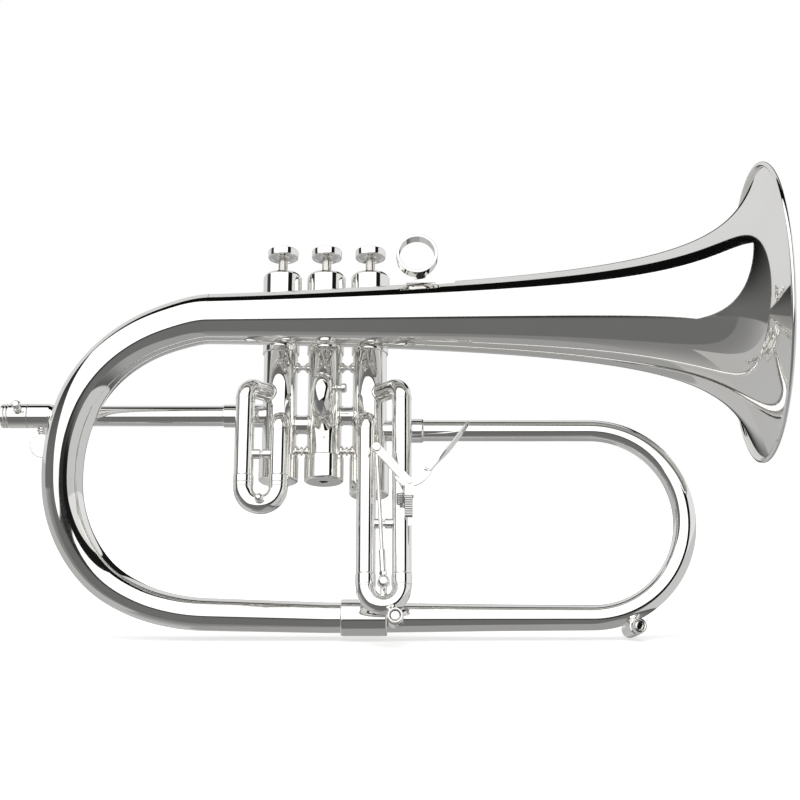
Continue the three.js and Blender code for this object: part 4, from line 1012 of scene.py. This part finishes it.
def slide_one():
    outer_legs(1, SLIDE_1, (FAR_PORT_Z, NEAR_PORT_Z), SLIDE_1_HEADINGS)
    left, right = SLIDE_1["legs"]
    knob_x, knob_z = (left + right) / 2, -52.6
    neck = [(0, 3.8), (1.6, 4.0), (1.1, 4.8), (1.1, 6.2), (1.5, 6.9)]
    knob = arc_points(0, 8.6, 2.4, -50, 76, 9)
    pull = aimed(lathe([*neck, *knob, (0, 11)], 40), FRONT, (knob_x, SLIDE_Y, knob_z))
    stand_for("slide_1_crook", leaned(merged(crook(SLIDE_1, ((5.35, 3.8), (5.25, 2.1))), pull)))


def slide_two():
    """Two short legs straight forwards from the second valve, and their crook with its pull knob."""
    upper, lower = SLIDE_2["ports"]
    outer, bore, mouth = SLIDE_2["radius"], SLIDE_2["bore"], SLIDE_2["mouth"]
    edge, root = 0.25, -11
    for name, z in (("upper", upper), ("lower", lower)):
        rows = stretch(line((0, mouth, z), (0, mouth + edge, z)), (outer - 0.15, outer), bore)
        rows += stretch(line((0, mouth + edge, z), (0, root, z)), outer, bore)[1:]
        stand_for(f"slide_2_leg_{name}", leaned(tube(rows, TUBE_SIDES, X, (None, casing_seat(1)))))
    radius = (upper - lower) / 2
    inner = bore - 0.08
    inside = inner - 0.45
    start, bow_start, inner_end = mouth - 0.2, mouth - 0.9, root + 0.2

    def leg(z, first, last):
        return line((0, first, z), (0, last, z))

    rows = stretch(leg(upper, inner_end, start), inner, inside)
    rows += stretch(leg(upper, start, bow_start), (outer - 0.12, outer), inside)
    bow = bend((0, bow_start, upper), FRONT, -Z, radius, math.pi, 48)
    rows += stretch(bow, outer, inside)[1:]
    rows += stretch(leg(lower, bow_start, start), (outer, outer - 0.12), inside)[1:]
    rows += stretch(leg(lower, start, inner_end), inner, inside)
    profile = [(0, 4.6), (1.5, 4.6), (1.1, 5.4), (1.1, 6.3), (2.2, 6.6), (2.3, 7.4), (1.6, 7.9), (1.5, 9.3),
               (2.4, 10), (2.45, 12), (1.7, 12.8), (0, 12.9)]
    knob = aimed(lathe(eased(profile, 0.35), 40), X, (0, -30, 6))
    stand_for("slide_2_crook", leaned(merged(tube(rows, TUBE_SIDES, X), knob)))


def along_y(place, radius, back, front, ease=0.15):
    return rod((place.x, back, place.z), (place.x, front, place.z), radius, ease)


def slide_three():
    outer_legs(3, SLIDE_3, (NEAR_PORT_Z, FAR_PORT_Z), SLIDE_3_HEADINGS)
    post_foot = (ROD_BALL.x, SLIDE_Y - 1, SLIDE_3["crook"] - 6)
    post = rod(post_foot, (ROD_BALL.x, SLIDE_Y - 1, ROD_BALL.z), 1.7, 0.4)
    pin = along_y(ROD_BALL, 1.3, SLIDE_Y, ROD_Y - 4)
    head = along_y(ROD_BALL, 1.9, ROD_Y - 3.7, ROD_Y - 4.3, 0.25)
    ferrule = (5.35, SLIDE_3["ends"] - SLIDE_3["crook"] - 1.4)
    rim = (5.25, 0.9)
    stand_for("slide_3_crook", leaned(merged(crook(SLIDE_3, (ferrule, rim)), post, pin, head)))


# ---- Third slide trigger ----

def trigger_bracket():
    """A strap bent into a clevis, with its foot on the slide's outer leg and the pivot pin across it."""
    half, x, z = 2.25, PIVOT.x, PIVOT.z
    strap_x, strap_half = x - 0.35, 2.05
    cheek = [(x + half, -52.2), *arc_points(x, z - 0.2, half, 0, 180, 20), (x - half, -52.2)]
    cheeks = [plate(cheek, front + 1.4, front) for front in (-30.8, -25.4)]
    side = [(22, -62.5), (24.6, -62.5), (30.8, -52), (30.8, -50.4), (29.4, -50.0), (25.4, -50.0),
            (24, -50.4), (24, -52), (21.4, -58), (18, -58.6), (18, -66.2), (22, -66.2)]
    web = plate(side, strap_half, -strap_half)
    turned = changed(web, lambda point: Vector((strap_x + point.y, -point.x, point.z)))
    room = aimed(disc(LEG_RADIUS - 0.1, -72, -50), Z, (SLIDE_3["legs"][1], SLIDE_Y, 0))
    strap = carve(outward(*turned), room)
    taper = [(-9, -60.2), (9, -60.2), (9, -70), (0.6, -70), (-0.2, -67), (-1.6, -63.5), (-9, -61.4)]
    strap = carve(strap, plate([(strap_x + across, height) for across, height in taper], 0, -21.3))
    ribs = []
    for i in range(9):
        start = Vector((strap_x - strap_half + 0.1, -30.2 + 0.6 * i, -52.9 - 1.05 * i))
        ribs.append(rod(start, start + X * (2 * strap_half - 0.2), 0.5, 0.1, 16))
    pin = along_y(PIVOT, 1.2, -24.2, -31.1)
    slot = plate([(x - 3, z - 0.3), (x + 3, z - 0.3), (x + 3, z + 0.3), (x - 3, z + 0.3)], -31.15, -33)
    head = merged(carve(along_y(PIVOT, 1.6, -30.7, -31.5, 0.3), slot), along_y(PIVOT, 1.9, -23.5, -24.1, 0.2))
    stand_for("trigger_bracket", leaned(merged(*cheeks, strap, *ribs, pin, head)), ease=0.3)


def bar_outline(start, end, first_half, last_half):
    """A straight bar with round ends about two centres."""
    angle = math.degrees(math.atan2(end.z - start.z, end.x - start.x))
    outline = arc_points(end.x, end.z, last_half, angle - 90, angle + 90, 16)
    return outline + arc_points(start.x, start.z, first_half, angle + 90, angle + 270, 16)


def finger_blade():
    """The blade that the hand pulls: thin at the elbow, broad and slightly hollow towards its tip."""
    along = BLADE_TIP - ELBOW
    length = along.length
    along.normalize()
    outwards = along.cross(Y).normalized()
    loops = []
    steps, corner_steps = 30, 20
    widens_from, widens_over, rounds_from = 0.16, 0.3, 0.86
    narrow_half, wide_half = 1.6, 5.9
    for i in range(steps + 1):
        way = i / steps
        grown = min(max((way - widens_from) / widens_over, 0), 1)
        half_width = narrow_half + (wide_half - narrow_half) * grown * grown * (3 - 2 * grown)
        tip = max((way - rounds_from) / (1 - rounds_from), 0)
        half_width *= math.sqrt(max(1 - tip * tip, 0.02)) if tip else 1
        thick = 0.45 + 0.2 * grown
        hollow = 0.5 * math.sin(math.pi * way)
        centre = Vector((ELBOW.x, LEVER_Y, ELBOW.z)) + along * (length * way) - outwards * hollow
        loop = []
        for k in range(corner_steps):
            turn = 2 * math.pi * k / corner_steps
            c, s = math.cos(turn), math.sin(turn)
            across = math.copysign(abs(c) ** 0.35, c) * half_width
            up = math.copysign(abs(s) ** 0.7, s) * thick
            loop.append(centre + Y * across + outwards * up)
        loops.append(loop)
    ends = [[sum(loop, Vector()) / len(loop)] for loop in (loops[0], loops[-1])]
    return skin([ends[0], *loops, ends[1]])


def trigger_lever():
    """A flat bar to the rod's eye, a hub on the pivot, and a curved arm to the finger blade."""
    back, front = LEVER_Y + LEVER_THICKNESS / 2, LEVER_Y - LEVER_THICKNESS / 2
    x, z = PIVOT.x, PIVOT.z
    bar = plate(bar_outline(PIVOT, LEVER_EYE, 2.3, 2.3), back, front)
    web = [(x - 1.5, z + 1), (x - 8.2, z + 3.4)]
    web += curve_points((x - 8.2, z + 3.4), (x - 5.4, z - 1.6), (x - 1, z - 2.2))[1:]
    arm = curve_points((x, z - 2.3), (x + 7, z - 2), (ELBOW.x + 1.2, ELBOW.z - 0.4))
    arm += curve_points((ELBOW.x - 0.2, ELBOW.z + 1.4), (x + 6, z + 0.6), (x, z + 2.3))
    flats = [plate(outline, back - inset, front + inset) for outline, inset in ((web, 0.2), (arm, 0.3))]
    holes = [along_y(PIVOT, 1.32, -20, -35), along_y(LEVER_EYE, 1.7, -20, -35)]
    stop = rod((ELBOW.x - 0.2, LEVER_Y, ELBOW.z + 0.6), (ELBOW.x - 2.6, LEVER_Y, ELBOW.z + 1.6), 0.8)
    shell = merged(carve(bar, *holes), *[carve(flat, holes[0]) for flat in flats], stop, finger_blade())
    stand_for("trigger_lever", leaned(shell), ease=0.34)


def hexagon(start, end, radius):
    return rod(start, end, radius, 0.1, 6)


def trigger_rod():
    """The rod: a clevis tongue behind the lever's eye, a pin through it, an adjuster and an eye."""
    tongue_y = LEVER_Y + LEVER_THICKNESS / 2 + 0.4
    pin_end = LEVER_Y - LEVER_THICKNESS / 2 - 0.4
    tongue = along_y(LEVER_EYE, 2.5, tongue_y + 1.9, tongue_y, 0.3)
    pin = along_y(LEVER_EYE, 1.1, tongue_y + 0.5, pin_end - 0.5)
    recess = along_y(LEVER_EYE, 0.75, pin_end - 0.3, pin_end - 3, 0)
    head = carve(along_y(LEVER_EYE, 2.3, pin_end, pin_end - 0.8, 0.4), recess)
    upper = Vector((LEVER_EYE.x, tongue_y + 0.9, LEVER_EYE.z))
    lower = Vector((ROD_BALL.x, ROD_Y, ROD_BALL.z))

    def part(first, last, radius, maker=rod):
        return maker(upper.lerp(lower, first), upper.lerp(lower, last), radius)

    rods = [part(0, 0.97, 1.05), part(0.03, 0.14, 1.3), part(0.765, 0.925, 1.85),
            part(0.928, 0.95, 2.0, hexagon)]
    eye = carve(ball(lower, 3.5), along_y(ROD_BALL, 1.45, -15, -35))
    stand_for("trigger_rod", leaned(merged(*rods, eye, tongue, pin, head)))


def trigger_spring():
    radius, wire, length, turns = 1.7, 0.7, 6.4, 6
    shell = coil(radius, wire, wire / 2, length - wire / 2, turns)
    stand_for("trigger_spring", leaned(aimed(shell, Z, (41, -26.4, -56.4))))


# ---- Water keys and finger ring ----

def water_keys():
    """One on the third slide's crook, which leans with the valves, and one on the front bow."""
    crook_room = tube(stretch(crook_bow(SLIDE_3), LEG_RADIUS - SEAT_DEPTH), TUBE_SIDES)
    bow_room = tube(front_bow_rows(-SEAT_DEPTH, None), BOW_SIDES)
    back = -KEY_LENGTH
    barrel = [(0, back + 3.5), (KEY_BORE, back + 3.5), (KEY_BORE, -0.4), (3.1, 0), (3.75, 0),
              (3.95, -0.3), (3.95, -2.9), (3.7, -3.1), (3.7, -3.5), (4.35, -3.8), (4.35, back + 0.8),
              (3.6, back), (0, back)]
    plunger = [(0, -4.4), (2.6, -4.4), (2.6, -1.4), (2.2, -0.7), (0, -0.55)]
    homes = ((crook_room, leaned), (bow_room, merged))
    for i, (key, (tube_room, placed)) in enumerate(zip(WATER_KEYS, homes)):
        direction, face = Vector(key["direction"]).normalized(), Vector(key["face"])
        middle = face - direction * DRAIN_DEPTH
        outwards = Vector(key["stub"]).normalized()
        body = aimed(lathe(eased(barrel, 0.25), TUBE_SIDES), direction, face)
        drain = rod(middle, middle - outwards * 7, 1.1)
        stub = merged(rod(middle + outwards * 3.3, middle + outwards * 5.4, 1.5, 0.35),
                      rod(middle + outwards * 3.3, middle + outwards * 4.6, 1.9, 0.3))
        stand_for(f"water_key_body_{i + 1}", placed(merged(carve(body, tube_room, drain), stub)))
        button = aimed(lathe(eased(plunger, 0.3), 48), direction, face)
        stand_for(f"water_key_plunger_{i + 1}", placed(button))


def finger_ring():
    """A strip bent into a ring, on a slanting foot soldered along the top of the bell's tail."""
    axis = Vector((0, -math.cos(TILT), math.sin(TILT)))
    half = RING["half"]
    hoop = aimed(band(RING["outer"], RING["inner"], -half, half, 0.3, 120), axis, RING["centre"])
    foot_half, foot_z = 3, 71
    leg = [(48.2, 75.2), (49.6, 74.9), (54.2, 74.8)]
    leg += curve_points((54.6, 74.7), (57.5, 73.6), (69.6, 73.5))
    leg += [(69.8, 70.8), (44, 70.6), (44, 72.5), (50.4, 72.7)]
    foot = plate(leg, BELL_Y + foot_half, BELL_Y - foot_half)
    backs = [90 + 10 * i for i in range(15)]
    side = [(bell_radius(back) - 0.2, -back) for back in backs]
    tail = aimed(lathe([(0, -backs[0]), *side, (0, -backs[-1])], 120), BELL_AXIS, BELL_RIM)
    hole = aimed(disc(RING["inner"], -half - 3, half + 3, 0, 96), axis, RING["centre"])
    foot = changed(foot, lambda point: point + Y * ((point.z - foot_z) * math.tan(TILT)))
    stand_for("finger_ring", merged(hoop, carve(foot, tail, hole)), ease=0.35)


# ---- Studio ----

def surroundings():
    """White to the eye. What the silver mirrors is a large soft light in front and above, a black gap
    beside it, pale walls, and a floor that runs from dark near the instrument to grey below."""
    world = bpy.data.worlds.new("studio")
    bpy.context.scene.world = world
    world.use_nodes = True
    world.node_tree.nodes.clear()
    graph = Graph(world.node_tree)
    way = graph.add("ShaderNodeTexCoord").outputs["Generated"]
    height = graph.dot(way, (0, 0, 1))
    edge = 0.015

    def side_of(normal, start=0.0, soft=edge):
        return graph.span(graph.dot(way, normal), start, start + soft, 0, 1)

    def both(first, *others):
        for other in others:
            first = graph.math("MULTIPLY", first, other)
        return first

    def tone(value):
        """A grey as it looks, as the light that it takes."""
        return (value ** 2.2,) * 3 + (1,)

    def tones(value, low, high, first, last):
        return graph.blend(graph.span(value, low, high, 0, 1), tone(first), tone(last))

    sideways = graph.dot(way, (1, 0, 0))
    backwards = graph.dot(way, (0, 1, 0))
    above = graph.span(height, 0.0, edge, 0, 1)
    low_gap = tones(sideways, -0.9, -0.1, 0.42, 0.06)
    gap = graph.blend(graph.span(height, 0.0, 0.6, 0, 1), low_gap, tone(0.08))
    wall = graph.blend(above, tone(0.72), tone(0.85))
    near_edge = tones(sideways, -0.65, -0.4, 0.44, 0.2)
    near_ground = graph.blend(graph.span(height, -0.22, -0.1, 0, 1), tone(0.43), near_edge)
    far_ground = tones(backwards, -0.45, 0.5, 0.51, 0.74)
    ground = graph.blend(graph.span(backwards, -0.5, -0.46, 0, 1), near_ground, far_ground)
    behind = side_of((0.139, 0.888, -0.437))
    raised = graph.math("ADD", height, graph.span(sideways, -0.7, -0.6, 0.1, 0))
    left_above = graph.span(raised, 0, edge, 0, 1)
    left = graph.blend(behind, graph.blend(left_above, ground, gap), wall)
    # The light is bounded by four planes: the way into the light from each, and where it starts.
    light_planes = (
        ((0.482, -0.418, 0.771), -0.04),
        ((-0.468, -0.878, -0.105), 0.0),
        ((-0.493, -0.110, 0.864), 0.0),
        ((-0.287, 0, 0.958), -0.03),
    )
    box = both(*[side_of(normal, start) for normal, start in light_planes])
    lit = graph.blend(box, left, (1.25, 1.25, 1.25, 1))
    right = (0.743, 0, 0.669)
    right_floor = tones(graph.dot(way, right), -0.25, 0.0, 0.62, 0.36)
    pale = graph.blend(side_of(right), right_floor, graph.blend(above, tone(0.78), tone(0.9)))
    split = (-0.834, -0.185, 0.520)
    beyond = side_of(tuple(-value for value in split), 0.38)
    dark_ground = graph.blend(graph.span(height, -0.3, -0.1, 0, 1), ground, tone(0.12))
    dark = graph.blend(beyond, graph.blend(above, dark_ground, tone(0.12)), pale)
    seen = graph.blend(side_of(split, -0.06), dark, lit)
    to_eye = graph.add("ShaderNodeLightPath").outputs["Is Camera Ray"]
    background = graph.add("ShaderNodeBackground")
    graph.feed(background.inputs["Color"], graph.blend(to_eye, seen, (1, 1, 1, 1)))
    output = graph.add("ShaderNodeOutputWorld")
    graph.feed(output.inputs["Surface"], background.outputs[0])


def floor():
    """A large pale disc just below the instrument."""
    material, graph, shader, place = new_material("pale_floor")
    shader.inputs["Roughness"].default_value = 0.9
    shader.inputs["Specular IOR Level"].default_value = 0.1
    shader.inputs["Emission Strength"].default_value = 0.45
    shader.inputs["Emission Color"].default_value = (1, 1, 1, 1)
    tone = graph.blend(graph.noise(place, 3, 2), (0.86, 0.86, 0.86, 1), (0.89, 0.89, 0.88, 1))
    graph.feed(shader.inputs["Base Color"], tone)
    points = circle(Vector((0, 0, cad_bounds[0][2] - FLOOR_GAP)), X, Y, FLOOR_RADIUS, 96)
    mesh = bpy.data.meshes.new("studio_floor")
    mesh.from_pydata(points, [], [tuple(range(len(points)))])
    mesh.materials.append(material)
    made = in_scene("studio_floor", mesh)
    made.visible_glossy = False


def light():
    """One large soft light overhead, which the metal doesn't mirror."""
    lamp = bpy.data.lights.new("overhead", "AREA")
    lamp.shape = "DISK"
    lamp.size = LAMP_SIZE
    lamp.energy = LAMP_POWER
    holder = in_scene("overhead", lamp)
    holder.location = LAMP_PLACE
    holder.visible_glossy = False


def camera():
    """A long lens nearly level with the mouthpipe, square on to the plane of the bell and the bows."""
    lens = bpy.data.cameras.new("front")
    lens.lens = CAMERA_LENS
    lens.sensor_width = CAMERA_SENSOR
    holder = in_scene("front", lens)
    holder.location = CAMERA_PLACE
    holder.rotation_euler = (math.pi / 2, 0, 0)
    bpy.context.scene.camera = holder


camera()
surroundings()
light()
floor()
bpy.context.scene.view_settings.view_transform = "Standard"
for make in (bell, back_bow, front_bow, collars, mouthpipe, receiver_sleeve, spade_screw,
             mouthpiece_receiver, lock_screw, mouthpipe_flange, valves, between_valves, bell_braces,
             slide_one, slide_two, slide_three, trigger_bracket, trigger_lever, trigger_rod,
             trigger_spring, water_keys, finger_ring):
    make()
